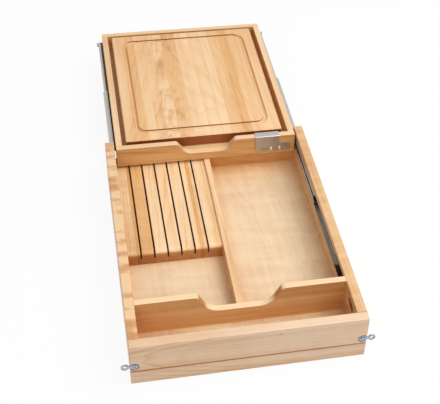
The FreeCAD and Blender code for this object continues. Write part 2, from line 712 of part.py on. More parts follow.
def rimmed_channel(gap, reach, tall, rim, sheet_thick):
    """A channel open to the tray whose flanges end in rims turned away from each other."""
    near, far = f"{gap} + {sheet_thick}", f"{reach} - {sheet_thick}"
    low, high = rim, f"{rim} + {tall}"
    return [(gap, low), (gap, high), (far, high), (far, f"{high} + {rim}"),
            (reach, f"{high} + {rim}"), (reach, f"{high} - {sheet_thick}"),
            (near, f"{high} - {sheet_thick}"), (near, f"{low} + {sheet_thick}"),
            (reach, f"{low} + {sheet_thick}"), (reach, "0"), (far, "0"), (far, low)]


def cut_slots(body, name, middle, lift, depth):
    """A row of oval slots along a member's web."""
    shape = new_sketch(body, "YZ_Plane", name, lift)
    half = "(slot_long - slot_tall) / 2"
    oval(shape, f"slot_first - {half}", f"slot_first + {half}", middle, "slot_tall / 2")
    first = pocket(body, shape, depth, reverse=True)
    repeat(body, first, "H_Axis", "slot_pitch * (slot_count - 1)", "slot_count")


def make_outer_member():
    """The member in the drawer's channel, with a lip along each edge."""
    body = slide_body("left_outer_member", "outer_y", "outer_tall",
                      lipped_channel("0", "outer_reach", "outer_tall", "outer_lip", "steel"),
                      "member_long")
    dress(body, "Fillet", "slide_bend", lambda edge: runs(edge, "y") and any(
        at(edge, x=x, z=z) for x in ("0", "outer_reach") for z in ("0", "outer_tall")))
    return body


def make_middle_member():
    """The member that runs between the other two, with rims that keep the balls in."""
    body = slide_body("left_middle_member", "middle_y", "(middle_tall + middle_rim * 2)",
                      rimmed_channel("middle_gap", "middle_reach", "middle_tall", "middle_rim",
                                     "steel"), "member_long")
    dress(body, "Fillet", "slide_bend", lambda edge: runs(edge, "y") and any(
        at(edge, x="middle_gap", z=z) for z in ("middle_rim", "middle_rim + middle_tall")))
    cut_slots(body, "middle_slot", "middle_rim + middle_tall / 2", "middle_gap", "steel")
    return body


def make_inner_member():
    """The member on the tray: a channel open to the drawer's side, with a rounded back end."""
    back = "inner_reach - steel"
    section = [("inner_reach", "0"), ("inner_reach", "inner_tall"), ("inner_gap", "inner_tall"),
               ("inner_gap", "inner_tall - steel"), (back, "inner_tall - steel"), (back, "steel"),
               ("inner_gap", "steel"), ("inner_gap", "0")]
    body = slide_body("left_inner_member", "inner_y", "inner_tall", section, "inner_long")
    dress(body, "Fillet", "inner_nose", lambda edge: (
        runs(edge, "z") and at(edge, x="inner_gap", y="inner_long")))
    cut_slots(body, "inner_slot", "inner_tall / 2", "inner_reach - steel", "steel")
    return body


def make_cage(name, start, gap, reach, tall, ball_u):
    """A ball cage with its holes."""
    body = slide_body(f"left_{name}_cage", start, tall, plain_channel(gap, reach, tall, "cage"),
                      "cage_long")
    first = "(cage_long - ball_pitch * (ball_count - 1)) / 2"
    hole = new_sketch(body, "XY_Plane", name + "_cage_hole", tall)
    circle(hole, ball_u, first, "ball + ball_play")
    holes = pocket(body, hole, tall)
    repeat(body, holes, "V_Axis", "ball_pitch * (ball_count - 1)", "ball_count")
    return body


def make_stop():
    """The plastic stop that fills the front end of the channel, open towards the slide."""
    body = slide_body("left_slide_stop", "stop_y", "outer_tall",
                      [("0", "0"), ("outer_reach", "0"), ("outer_reach", "outer_tall"),
                       ("0", "outer_tall")], "stop_long")
    dress(body, "Fillet", "stop_wall", lambda edge: runs(edge, "x") and at(edge, y="0"))
    cup = new_sketch(body, "XZ_Plane", "stop_cup", "-stop_long")
    rectangle(cup, "stop_wall", "outer_reach + stop_wall", "stop_wall * 2",
              "outer_tall - stop_wall * 2")
    pocket(body, cup, "stop_long / 2", reverse=True)
    return body


def make_plug():
    """The plastic plug in the front end of the middle member."""
    near = "middle_gap + steel"
    tall = "(middle_tall - steel * 2)"
    body = slide_body("left_middle_plug", "middle_y", tall,
                      [(near, "0"), ("middle_reach", "0"), ("middle_reach", tall), (near, tall)],
                      "plug_long")
    dress(body, "Fillet", "slide_bend", lambda edge: (
        runs(edge, "z") and at(edge, x="middle_reach")))
    return body


def make_slides():
    left = {
        "outer_member": make_outer_member(),
        "middle_member": make_middle_member(),
        "inner_member": make_inner_member(),
        "outer_cage": make_cage("outer", "outer_cage_y", "outer_cage_gap", "outer_cage_reach",
                                "outer_cage_tall", "outer_ball_u"),
        "inner_cage": make_cage("inner", "inner_cage_y", "inner_cage_gap", "inner_cage_reach",
                                "inner_cage_tall", "inner_ball_u"),
        "slide_stop": make_stop(),
        "middle_plug": make_plug(),
    }
    for name, piece in left.items():
        named(piece, "left_" + name)
        named(mirrored("right_" + name, piece), "right_" + name)


make_slides()


# Keeper and front clips


def make_keeper():
    """The sheet steel keeper: a plate with a slotted arm and a lip over the tray's front wall."""
    body = new_body("keeper_plate", "keeper_x",
                    "front_y + tray_y - keeper_play - keeper_sheet", "keeper_z")
    top = "(tray_z + tray_height + keeper_play + keeper_sheet - keeper_z)"
    face = new_sketch(body, "XZ_Plane", "keeper_face")
    outline(face, [("0", "0"), ("keeper_long", "0"), ("keeper_long", "keeper_arm"),
                   ("keeper_wide", "keeper_arm"), ("keeper_wide", top), ("0", top)])
    pad(body, face, "keeper_sheet", reverse=True)
    for radius, corners in (
            ("keeper_nose", [("keeper_long", "0"), ("keeper_long", "keeper_arm")]),
            ("keeper_corner", [("0", "0"), ("keeper_wide", "keeper_arm")])):
        dress(body, "Fillet", radius, lambda edge: runs(edge, "y") and any(
            at(edge, x=x, z=z) for x, z in corners))
    slot = new_sketch(body, "XZ_Plane", "keeper_slot")
    oval(slot, "keeper_slot_x + keeper_slot_round",
         "keeper_slot_x + keeper_slot_long - keeper_slot_round", "keeper_slot_z",
         "keeper_slot_round")
    pocket(body, slot, "keeper_sheet")
    lip = new_sketch(body, "XY_Plane", "keeper_lip_plan", f"{top} - keeper_sheet")
    rectangle(lip, "0", "keeper_wide", "0", "keeper_lip")
    pad(body, lip, "keeper_sheet")
    dress(body, "Fillet", "keeper_sheet", lambda edge: runs(edge, "x") and at(edge, y="0", z=top))
    named(body, "keeper_plate")


def make_clip():
    """The left front clip: two eyes joined by a neck, held by a screw through the inner eye."""
    body = new_body("left_front_clip", "-clip_x - clip_pitch", "front_y + clip_sink", "clip_z")
    plate = new_sketch(body, "XZ_Plane", "clip_outer_eye")
    circle(plate, "0", "0", "clip_eye")
    pad(body, plate, "clip_thick", reverse=True)
    second = new_sketch(body, "XZ_Plane", "clip_inner_eye")
    circle(second, "clip_pitch", "0", "clip_eye")
    pad_neck = new_sketch(body, "XZ_Plane", "clip_neck_shape")
    rectangle(pad_neck, "0", "clip_pitch", "-clip_neck / 2", "clip_neck / 2")
    pad(body, pad_neck, "clip_thick", reverse=True)
    pad(body, second, "clip_thick", reverse=True)
    holes = new_sketch(body, "XZ_Plane", "clip_holes")
    circle(holes, "0", "0", "clip_hole")
    circle(holes, "clip_pitch", "0", "clip_bore")
    pocket(body, holes, "clip_thick")
    return body


make_keeper()
clip = make_clip()
named(clip, "left_front_clip")
named(mirrored("right_front_clip", clip), "right_front_clip")
named(clip_screws, "clip_screws")
named(keeper_screws, "keeper_screws")


# Checks and files

doc.recompute()
for thing in doc.Objects:
    if "Invalid" in thing.State or "Error" in thing.State:
        raise RuntimeError(f"{thing.Label} failed: {thing.State}")
os.makedirs("parts", exist_ok=True)
for part in subparts:
    shape = part.Shape
    if shape.isNull() or not shape.isValid() or not shape.Solids:
        raise RuntimeError(f"{part.Label} has no valid shape")
for part in subparts:
    part.Shape.exportStep(f"parts/{part.Label}.step")
    print(f"{part.Label}: {len(part.Shape.Solids)} solids, {part.Shape.Volume / 1000:.2f} cm3")
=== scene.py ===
"""Knife and cutting board drawer: wood finishes, slide balls, screws, camera and light.

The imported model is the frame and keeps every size. This file gives its boards and metal their
finishes, adds the small hardware that the solids leave out, and lights it on a pale floor.
"""

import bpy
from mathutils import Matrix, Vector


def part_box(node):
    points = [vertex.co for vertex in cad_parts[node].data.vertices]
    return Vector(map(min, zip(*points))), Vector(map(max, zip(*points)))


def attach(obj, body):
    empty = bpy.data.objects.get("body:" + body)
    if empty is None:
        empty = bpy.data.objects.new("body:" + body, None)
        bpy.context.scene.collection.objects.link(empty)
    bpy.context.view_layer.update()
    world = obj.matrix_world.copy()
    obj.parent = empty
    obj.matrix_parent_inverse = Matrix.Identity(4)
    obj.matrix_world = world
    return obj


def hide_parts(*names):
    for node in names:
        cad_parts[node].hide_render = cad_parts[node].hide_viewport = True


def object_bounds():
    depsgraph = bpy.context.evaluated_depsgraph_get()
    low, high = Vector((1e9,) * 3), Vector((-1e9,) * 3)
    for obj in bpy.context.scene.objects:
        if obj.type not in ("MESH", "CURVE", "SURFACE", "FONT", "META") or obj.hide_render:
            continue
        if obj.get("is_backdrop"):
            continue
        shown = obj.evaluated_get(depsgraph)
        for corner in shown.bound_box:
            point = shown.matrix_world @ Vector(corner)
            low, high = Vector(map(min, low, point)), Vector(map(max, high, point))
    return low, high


bl_info = {
    "name": "Knife and Cutting Board Drawer",
    "version": (1, 0, 0),
    "blender": (4, 5, 0),
    "location": "3D View > Sidebar > Knife Drawer",
    "description": "Finishes and small hardware of a maple drawer with a sliding tray",
    "category": "Object",
}

import math

import bmesh
import bpy
from bpy.props import FloatProperty, FloatVectorProperty, IntProperty, PointerProperty
from mathutils import Matrix, Vector

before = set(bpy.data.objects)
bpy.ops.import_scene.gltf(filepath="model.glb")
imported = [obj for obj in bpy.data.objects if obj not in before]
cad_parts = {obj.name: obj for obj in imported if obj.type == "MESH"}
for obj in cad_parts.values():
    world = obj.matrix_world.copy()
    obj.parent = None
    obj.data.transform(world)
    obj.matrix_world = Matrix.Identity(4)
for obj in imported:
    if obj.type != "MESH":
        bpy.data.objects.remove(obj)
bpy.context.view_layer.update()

MM = 0.001
SIDES = (("left", -1.0), ("right", 1.0))


# Colours


def tone(red, green, blue):
    """A display colour from 0 to 255 as the linear colour that Blender's sockets hold."""
    levels = []
    for level in (red, green, blue):
        share = level / 255.0
        levels.append(share / 12.92 if share <= 0.04045 else ((share + 0.055) / 1.055) ** 2.4)
    return (levels[0], levels[1], levels[2], 1.0)


def between(first, second, share):
    """The colour a share of the way from the first to the second."""
    return tuple(a + (b - a) * share for a, b in zip(first, second))


BLACK = (0.0, 0.0, 0.0, 1.0)
WHITE = (1.0, 1.0, 1.0, 1.0)
# Painted shade in the corners and recesses of metal.
CORNER_SHADE_BROWN = tone(56, 42, 32)
# The outer member's black sleeve, and the painted shade on the inner member's side towards the tray.
SLEEVE_AND_SHADE_BROWN = tone(58, 34, 26)
WORN_STEEL = tone(205, 200, 192)


# Settings


def colour_setting(name, description, default):
    """A colour in the sidebar."""
    return FloatVectorProperty(
        name=name, description=description, subtype="COLOR", size=4, min=0.0, max=1.0, default=default)


def length_setting(name, description, low, high, default):
    """A length in the sidebar, with its lowest and highest value."""
    return FloatProperty(
        name=name, description=description, unit="LENGTH", min=low, max=high, default=default)


def power_setting(name, description, default):
    """The power of a lamp in the sidebar."""
    return FloatProperty(
        name=name, description=description, unit="POWER", min=0.0, max=500.0, default=default)


class WoodSettings(bpy.types.PropertyGroup):
    """Colours and grain of the maple and birch."""

    pale: colour_setting(
        "Pale maple", "Sanded maple, the lightest wood of the drawer", tone(244, 213, 172))
    golden: colour_setting("Golden maple", "Maple of a middle colour", tone(228, 178, 118))
    amber: colour_setting("Amber maple", "Growth rings and the darkest strips", tone(190, 124, 64))
    birch: colour_setting("Birch", "Face of the plywood floors", tone(232, 206, 170))
    # Side tint is painted shade: upright faces darker and warmer than level ones, as they take less light.
    # It also colours the painted shade in inner corners, on the floor under the tray's front and over the
    # back of the cutting board.
    side: colour_setting(
        "Side tint", "Tint of the upright faces, which are sanded less", (0.92, 0.79, 0.60, 1.0))
    end: colour_setting(
        "End tint", "Tint of end grain, which drinks the lacquer", (0.62, 0.43, 0.28, 1.0))
    # Hollow tint is painted shade deep in slots, kerfs, grooves and recesses, and over the cutting board's
    # end grain.
    hollow: colour_setting(
        "Hollow tint", "Tint deep in slots, grooves and inner corners", (0.48, 0.20, 0.04, 1.0))
    ring_gap: length_setting(
        "Ring gap", "Mean distance between two growth rings", 0.0005, 0.02, 0.0034)
    # The band along each edge is wear, and on the wood also a painted highlight.
    wear: length_setting(
        "Edge softness", "Width of the rubbed band along each edge", 0.0001, 0.005, 0.0011)
    sheen: FloatProperty(
        name="Lacquer", description="Weight of the clear lacquer",
        subtype="FACTOR", min=0.0, max=1.0, default=0.16)


class SlideSettings(bpy.types.PropertyGroup):
    """Balls and screws of the two slides."""

    ball_radius: length_setting("Ball radius", "Radius of one steel ball", 0.0005, 0.003, 0.0013)
    ball_first: length_setting(
        "First ball", "From the front end of a cage to its first ball", 0.0, 0.1, 0.017)
    ball_pitch: length_setting(
        "Ball pitch", "From one ball to the next in a row", 0.01, 0.1, 0.062)
    ball_count: IntProperty(
        name="Balls in a row", description="Balls along one side of a cage", min=1, max=8, default=3)
    screw_radius: length_setting("Head radius", "Radius of a slide screw's head", 0.001, 0.006, 0.0034)
    screw_first: length_setting(
        "First screw", "From the front end of a member to its first screw", 0.005, 0.1, 0.024)
    screw_pitch: length_setting(
        "Screw pitch", "From one slide screw to the next", 0.02, 0.3, 0.149)


class MetalSettings(bpy.types.PropertyGroup):
    """Colours of the metal and plastic."""

    steel: colour_setting("Slide steel", "Zinc plated steel of the slides", tone(196, 192, 186))
    brushed: colour_setting("Brushed steel", "Plate of the keeper", tone(190, 186, 183))
    zinc: colour_setting("Blue zinc", "Bright zinc of the clips and screws", tone(172, 184, 200))
    plastic: colour_setting("Black plastic", "Stops and plugs of the slides", tone(34, 20, 15))


class StageSettings(bpy.types.PropertyGroup):
    """Camera, floor and light."""

    key_power: power_setting("Key light", "Power of the large lamp overhead", 47.0)
    fill_power: power_setting("Fill light", "Power of the soft lamp in front", 12.0)
    room_level: FloatProperty(
        name="Room light", description="Light from all round", min=0.0, max=2.0, default=0.36)
    lens: FloatProperty(
        name="Lens", description="Focal length on a 36 mm sensor",
        unit="CAMERA", min=10.0, max=300.0, default=80.35)
    floor_reach: length_setting("Floor reach", "Half the width of the floor", 1.0, 50.0, 9.0)


class DrawerSettings(bpy.types.PropertyGroup):
    """Everything that a user would change on this drawer."""

    wood: PointerProperty(type=WoodSettings)
    slide: PointerProperty(type=SlideSettings)
    metal: PointerProperty(type=MetalSettings)
    stage: PointerProperty(type=StageSettings)


class DrawerStep:
    """What every operator of the drawer shares."""

    bl_options = {"REGISTER", "UNDO"}


# Shader nodes


def fill(tree, node, sockets):
    """Links or sets the input sockets of a node."""
    for key, source in (sockets or {}).items():
        if isinstance(source, bpy.types.NodeSocket):
            tree.links.new(source, node.inputs[key])
        else:
            node.inputs[key].default_value = source
    return node


def put(tree, kind, sockets=None, **settings):
    """Adds a shader node, with its settings and its input sockets."""
    node = tree.nodes.new("ShaderNode" + kind)
    for name, setting in settings.items():
        setattr(node, name, setting)
    return fill(tree, node, sockets)


def use(tree, group, sockets=None):
    """Places a node group, with its own values, and gives its outputs."""
    node = tree.nodes.new("ShaderNodeGroup")
    node.node_tree = group
    return fill(tree, node, sockets).outputs


def sums(tree, operation, first, second=0.0, third=0.0, clamp=False):
    """A Math node's value."""
    node = put(tree, "Math", {0: first, 1: second, 2: third}, operation=operation, use_clamp=clamp)
    return node.outputs[0]


def vectors(tree, operation, first, second=(0.0, 0.0, 0.0)):
    """A Vector Math node's vector."""
    return put(tree, "VectorMath", {0: first, 1: second}, operation=operation).outputs[0]


def measured(tree, operation, first, second):
    """A Vector Math node's number, such as a dot product or a distance."""
    return put(tree, "VectorMath", {0: first, 1: second}, operation=operation).outputs[1]


def split(tree, vector):
    """The x, y and z of a vector."""
    return list(put(tree, "SeparateXYZ", {0: vector}).outputs)


def joined(tree, x, y, z):
    """A vector from its x, y and z."""
    return put(tree, "CombineXYZ", {0: x, 1: y, 2: z}).outputs[0]


def own_place(tree):
    """The point on the piece, in metres along the frame's axes."""
    return put(tree, "TexCoord").outputs["Object"]


def facing(tree):
    """The way that the surface faces."""
    return put(tree, "NewGeometry").outputs["Normal"]


def span(tree, value, low, high, out_low=0.0, out_high=1.0):
    """A value eased from one span to another."""
    node = put(
        tree, "MapRange", {0: value, 1: low, 2: high, 3: out_low, 4: out_high},
        interpolation_type="SMOOTHSTEP")
    return node.outputs[0]


def hypotenuse(tree, first, second):
    """The length of a line with these two parts at right angles."""
    squares = sums(tree, "MULTIPLY_ADD", first, first, sums(tree, "MULTIPLY", second, second))
    return sums(tree, "SQRT", squares)


def away_from(tree, parts, centre, reach):
    """The distance from a centre in two directions, 1 on an ellipse of this reach."""
    shares = []
    for part, middle, half in zip(parts, centre, reach):
        shares.append(sums(tree, "DIVIDE", sums(tree, "SUBTRACT", part, middle), half))
    return hypotenuse(tree, *shares)


def mix(tree, share, first, second, blend="MIX"):
    """Two colours mixed by a share."""
    node = put(tree, "Mix", {0: share, 6: first, 7: second}, data_type="RGBA", blend_type=blend)
    return node.outputs[2]


def masked(tree, colour, mask, share, other, blend="MIX"):
    """A colour with another mixed into it by a share of a mask."""
    return mix(tree, sums(tree, "MULTIPLY", mask, share), colour, tuple(other), blend)


def cloud(tree, place, stretch, detail=2.0, rough=0.5):
    """Noise stretched by three factors, each in cycles for a metre."""
    spread = vectors(tree, "MULTIPLY", place, stretch)
    return put(tree, "TexNoise", {"Vector": spread, "Scale": 1.0, "Detail": detail, "Roughness": rough})


def row_noise(tree, along, scale, detail):
    """Noise along one number."""
    sockets = {"W": along, "Scale": scale, "Detail": detail}
    return put(tree, "TexNoise", sockets, noise_dimensions="1D").outputs[0]


def new_group(name, inputs, outputs):
    """An empty shader node group with named inputs (name, kind, default) and outputs."""
    group = bpy.data.node_groups.new(name, "ShaderNodeTree")
    for label, kind, default in inputs:
        socket = group.interface.new_socket(label, in_out="INPUT", socket_type="NodeSocket" + kind)
        if default is not None:
            socket.default_value = default
    for label, kind in outputs:
        group.interface.new_socket(label, in_out="OUTPUT", socket_type="NodeSocket" + kind)
    return group, group.nodes.new("NodeGroupInput").outputs, group.nodes.new("NodeGroupOutput").inputs


def shared(build):
    """A builder that makes its node group once and finds it afterwards."""
    name = build.__name__.replace("_", " ").capitalize()

    def found_or_built():
        return bpy.data.node_groups.get(name) or build(name)

    return found_or_built


# How fine each mark in the wood is: cycles for a metre along the fibres and twice across them.
DRIFT = (3.0, 16.0, 16.0)
SWIRL = (10.0, 42.0, 42.0)
FIBRE = (45.0, 1500.0, 1500.0)
STREAK = (1.7, 75.0, 75.0)
BLOTCH = (5.0, 11.0, 11.0)
RIPPLE = (52.0, 15.0, 15.0)
FLECK = (60.0, 520.0, 520.0)
# How far the early wood is from pale to dark, and how much the fibres and the rings show.
EARLY_SHARE = 0.22
FIBRE_SHARE = 0.5
RING_SINK = -0.35


@shared
def sawn_wood(name):
    """Wood cut from a log: rings round a distant heart, fibres along X, figure and flecks."""
    tree, given, made = new_group(
        name,
        (
            ("Place", "Vector", None), ("Pale", "Color", tone(240, 213, 180)),
            ("Dark", "Color", tone(190, 130, 80)), ("Ring Gap", "Float", 0.003),
            ("Heart Depth", "Float", 0.07), ("Heart Lean", "Float", 0.05),
            ("Wander", "Float", 0.01), ("Rings", "Float", 0.35), ("Streaks", "Float", 0.4),
            ("Blotches", "Float", 0.3), ("Curl", "Float", 0.0), ("Curl Lean", "Float", 0.3),
            ("Quilt", "Float", 0.0), ("Flecks", "Float", 0.2),
        ),
        (("Color", "Color"), ("Height", "Float"), ("Gloss", "Float")))
    place = bent = given["Place"]
    for stretch, detail, reach in ((DRIFT, 2.0, given["Wander"]), (SWIRL, 1.0, given["Quilt"])):
        push = cloud(tree, place, stretch, detail).outputs[1]
        push = vectors(tree, "SUBTRACT", push, (0.5, 0.5, 0.5))
        push = vectors(tree, "MULTIPLY", push, joined(tree, 0.0, reach, reach))
        bent = vectors(tree, "ADD", bent, push)
    along, across, up = split(tree, bent)
    heart = sums(tree, "MULTIPLY_ADD", along, given["Heart Lean"], given["Heart Depth"])
    radius = hypotenuse(tree, across, sums(tree, "ADD", up, heart))
    count = sums(tree, "DIVIDE", radius, given["Ring Gap"])
    count = sums(tree, "MULTIPLY_ADD", row_noise(tree, radius, 90.0, 1.0), 2.2, count)
    vigour = span(tree, row_noise(tree, count, 0.31, 0.0), 0.3, 0.7, 0.25, 1.0)
    late = sums(tree, "MULTIPLY", span(tree, sums(tree, "FRACT", count), 0.35, 1.0), vigour)
    fibre = cloud(tree, place, FIBRE, 3.0, 0.6).outputs[0]
    streak = cloud(tree, place, STREAK, 3.0, 0.6).outputs[0]
    blotch = cloud(tree, bent, BLOTCH).outputs[0]
    slant = sums(tree, "MULTIPLY_ADD", across, given["Curl Lean"], along)
    ripple = cloud(tree, joined(tree, slant, across, up), RIPPLE, 3.0).outputs[0]
    fleck = span(tree, cloud(tree, place, FLECK, 1.0).outputs[0], 0.68, 0.76)
    share = sums(tree, "MULTIPLY_ADD", late, given["Rings"], EARLY_SHARE)
    for mark, strength, reach in (
        (streak, "Streaks", 0.22), (blotch, "Blotches", 0.22), (ripple, "Curl", 0.16),
    ):
        level = span(tree, mark, 0.5 - reach, 0.5 + reach, -0.5, 0.5)
        share = sums(tree, "MULTIPLY_ADD", level, given[strength], share)
    share = sums(tree, "MULTIPLY_ADD", sums(tree, "SUBTRACT", fibre, 0.5), FIBRE_SHARE, share)
    share = sums(tree, "MULTIPLY_ADD", fleck, given["Flecks"], share, clamp=True)
    tree.links.new(mix(tree, share, given["Pale"], given["Dark"]), made["Color"])
    tree.links.new(sums(tree, "MULTIPLY_ADD", late, RING_SINK, fibre), made["Height"])
    tree.links.new(span(tree, sums(tree, "ADD", streak, fibre), 0.6, 1.4), made["Gloss"])
    return tree


@shared
def rubbed_edges(name):
    """A mask that is 1 along the edges of a piece, broken up where the hand misses it. Metal and plastic
    take it as wear, wood as wear and a painted highlight.
    """
    tree, given, made = new_group(
        name, (("Place", "Vector", None), ("Width", "Float", 0.001)), (("Mask", "Float"),))
    soft = put(tree, "Bevel", {"Radius": given["Width"]}, samples=4).outputs[0]
    edge = span(tree, measured(tree, "DOT_PRODUCT", soft, facing(tree)), 0.99, 0.86)
    patches = cloud(tree, given["Place"], (60.0, 60.0, 60.0)).outputs[0]
    patches = span(tree, patches, 0.25, 0.6, 0.35, 1.0)
    tree.links.new(sums(tree, "MULTIPLY", edge, patches), made["Mask"])
    return tree


@shared
def faces_and_hollows(name):
    """Masks of a board's upright sides, its ends across the grain, its slots and inner corners, for
    painted shade; the slot and corner masks are ambient occlusion.
    """
    tree, given, made = new_group(
        name,
        (("Grain", "Vector", None), ("Slot Reach", "Float", 0.008), ("Corner Reach", "Float", 0.05),
         ("Level Corners", "Float", 0.0)),
        (("Side", "Float"), ("End", "Float"), ("Hollow", "Float"), ("Corner", "Float")))
    way = facing(tree)
    side = span(tree, sums(tree, "ABSOLUTE", split(tree, way)[2]), 0.85, 0.3)
    tree.links.new(side, made["Side"])
    across = sums(tree, "ABSOLUTE", measured(tree, "DOT_PRODUCT", way, given["Grain"]))
    tree.links.new(span(tree, across, 0.7, 0.95), made["End"])
    # Painted shade: the piece's own ambient occlusion finds its slots.
    slot = put(tree, "AmbientOcclusion", {"Distance": given["Slot Reach"]}, samples=8, only_local=True)
    tree.links.new(span(tree, slot.outputs["AO"], 0.85, 0.3), made["Hollow"])
    # Painted shade: ambient occlusion of all that is near finds inner corners, on upright faces and, where
    # kept, on level ones.
    corner = put(tree, "AmbientOcclusion", {"Distance": given["Corner Reach"]}, samples=8)
    corner = span(tree, corner.outputs["AO"], 0.95, 0.3)
    kept = sums(tree, "MAXIMUM", side, given["Level Corners"])
    tree.links.new(sums(tree, "MULTIPLY", corner, kept), made["Corner"])
    return tree


@shared
def glue_line(name):
    """A thin mask where the strip on one side isn't the strip on the other."""
    tree, given, made = new_group(
        name, (("Here", "Color", None), ("Beside", "Color", None)), (("Mask", "Float"),))
    gap = measured(tree, "DISTANCE", given["Here"], given["Beside"])
    tree.links.new(span(tree, gap, 0.01, 0.06), made["Mask"])
    return tree


# How fine the marks in metal are: cycles for a metre along the rolling and twice across it.
ROLLED_LINE = (14.0, 2600.0, 2600.0)
SCRATCH = (22.0, 900.0, 900.0)
SMEAR = (38.0, 70.0, 70.0)


@shared
def drawn_metal(name):
    """Rolled or brushed metal: fine lines along X, soft smears and a few scratches."""
    tree, given, made = new_group(
        name,
        (("Place", "Vector", None), ("Fineness", "Float", 1.0), ("Smooth", "Float", 0.25),
         ("Rough", "Float", 0.42)),
        (("Roughness", "Float"), ("Height", "Float"), ("Shade", "Float")))
    fineness = joined(tree, 1.0, given["Fineness"], given["Fineness"])
    place = vectors(tree, "MULTIPLY", given["Place"], fineness)
    lines = cloud(tree, place, ROLLED_LINE, 2.0, 0.6).outputs[0]
    smear = cloud(tree, given["Place"], SMEAR, 3.0, 0.6).outputs[0]
    scratch = span(tree, cloud(tree, place, SCRATCH, 0.0).outputs[0], 0.74, 0.8)
    blend = sums(tree, "MULTIPLY_ADD", lines, 0.55, sums(tree, "MULTIPLY", smear, 0.45))
    level = sums(tree, "MULTIPLY_ADD", scratch, 0.4, span(tree, blend, 0.3, 0.7))
    rough = put(tree, "MapRange", {0: level, 1: 0.0, 2: 1.0, 3: given["Smooth"], 4: given["Rough"]})
    tree.links.new(rough.outputs[0], made["Roughness"])
    tree.links.new(sums(tree, "MULTIPLY_ADD", scratch, -0.6, lines), made["Height"])
    tree.links.new(span(tree, blend, 0.25, 0.75), made["Shade"])
    return tree


def bare_tree(holder):
    """The node tree of a material or of the world, emptied."""
    holder.use_nodes = True
    holder.node_tree.nodes.clear()
    return holder.node_tree


def new_finish(name):
    """A material with one shader on its output: (material, its tree, the shader)."""
    finish = bpy.data.materials.new(name)
    tree = bare_tree(finish)
    shader = put(tree, "BsdfPrincipled")
    output = put(tree, "OutputMaterial", {0: shader.outputs[0]})
    output.is_active_output = True
    return finish, tree, shader


def raise_marks(tree, shader, height, strength, depth):
    """Links a height to a shader as a bump of a strength, with its depth in metres."""
    bump = put(tree, "Bump", {"Strength": strength, "Distance": depth, "Height": height})
    tree.links.new(bump.outputs[0], shader.inputs["Normal"])


def grain_place(tree, axes, shift=(0.0, 0.0, 0.0)):
    """The point on the piece with its grain turned along X: axes is like YXZ."""
    parts = split(tree, own_place(tree))
    turned_place = joined(tree, *(parts["XYZ".index(axis)] for axis in axes))
    return vectors(tree, "ADD", turned_place, shift)


def dress(node_names, finish):
    """Gives nodes of the frame their finish."""
    for name in node_names:
        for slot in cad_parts[name].material_slots:
            slot.material = finish


# Wood


GRAIN = {"X": (1.0, 0.0, 0.0), "Y": (0.0, 1.0, 0.0)}
# How far wood edges go towards pale, as wear and as a painted highlight.
EDGE_WEAR_AND_HIGHLIGHT_SHARE = 0.4
FIBRE_STRENGTH = 0.2
FIBRE_DEPTH = 0.4 * MM
LACQUER_ROUGHNESS = 0.32
WOOD_IOR = 1.5

# How much of each tint a piece of wood takes: painted shade on its upright sides; its darker end grain,
# and painted shade over that end grain; painted shade in its inner corners, its slots and its shallow
# grooves; and a painted highlight that makes its level top pale.
TINTS = {
    "side": 1.0, "end": 1.0, "soaked_and_shaded": 0.0, "corner": 0.5, "hollow": 1.0, "groove_shade": 0.0, "top": 0.0}

# What most boards share, and where each board differs: the axes of its grain, its shift into the log, how
# warm and deep its colour is, its heart and figure, the reach of the painted shade in its slots, its own
# tint, a knot at (x, z) and its shares of painted shade and highlight.
BOARD = {
    "axes": "YZX", "shift": (0.0, 0.12, 0.0), "warmth": 0.35, "deep": 0.45, "heart": 0.07,
    "lean": 0.04, "rings": 0.4, "streaks": 0.55, "curl": 0.1, "curl_lean": 0.3, "slot": 0.008,
    "tint": (1.0, 1.0, 1.0), "knot": None, "tints": {},
}
MAPLE_BOARDS = {
    "drawer_front": {
        "axes": "XZY", "shift": (0.31, -0.045, 0.2), "warmth": 0.0, "deep": 0.25, "heart": 0.05,
        "lean": 0.035, "rings": 0.45, "tint": (0.86, 0.84, 0.92), "knot": (0.0453, 0.0759),
        "tints": {"side": 0.12, "corner": 0.1, "hollow": 0.45}},
    "drawer_left_side": {
        "shift": (1.4, 0.03, 0.5), "warmth": 0.25, "deep": 0.8, "rings": 0.15, "streaks": 0.3,
        "curl": 1.3, "curl_lean": 1.3, "tint": (0.94, 0.90, 0.87)},
    "drawer_right_side": {
        "shift": (2.2, 0.05, 0.1), "warmth": 0.5, "curl": 0.5, "curl_lean": 0.8, "slot": 0.022,
        "tint": (0.88, 0.86, 0.84), "tints": {"side": 0.35, "corner": 0.3}},
    "drawer_back": {"axes": "XZY", "shift": (3.1, 0.1, 0.6)},
    "scoop_divider": {
        "axes": "XZY", "shift": (4.6, 0.22, 0.3), "warmth": 0.3, "heart": 0.09, "streaks": 0.75,
        "tints": {"top": 0.7}},
    "centre_partition": {
        "shift": (5.3, 0.15, 0.7), "deep": 0.6, "streaks": 0.7, "tints": {"side": 0.8}},
    "tray_front": {
        "axes": "XZY", "shift": (6.9, 0.12, 0.2), "deep": 0.5, "rings": 0.45, "streaks": 0.7,
        "tints": {"top": 0.4}},
    "tray_back": {"axes": "XZY", "shift": (7.7, 0.12, 0.9), "tints": {"top": 0.3}},
    "tray_left_side": {"shift": (8.2, 0.02, 0.4), "warmth": 0.3, "tints": {"corner": 0.8}},
    "tray_right_side": {"shift": (9.4, 0.06, 0.8), "warmth": 0.25, "tints": {"corner": 0.8}},
}


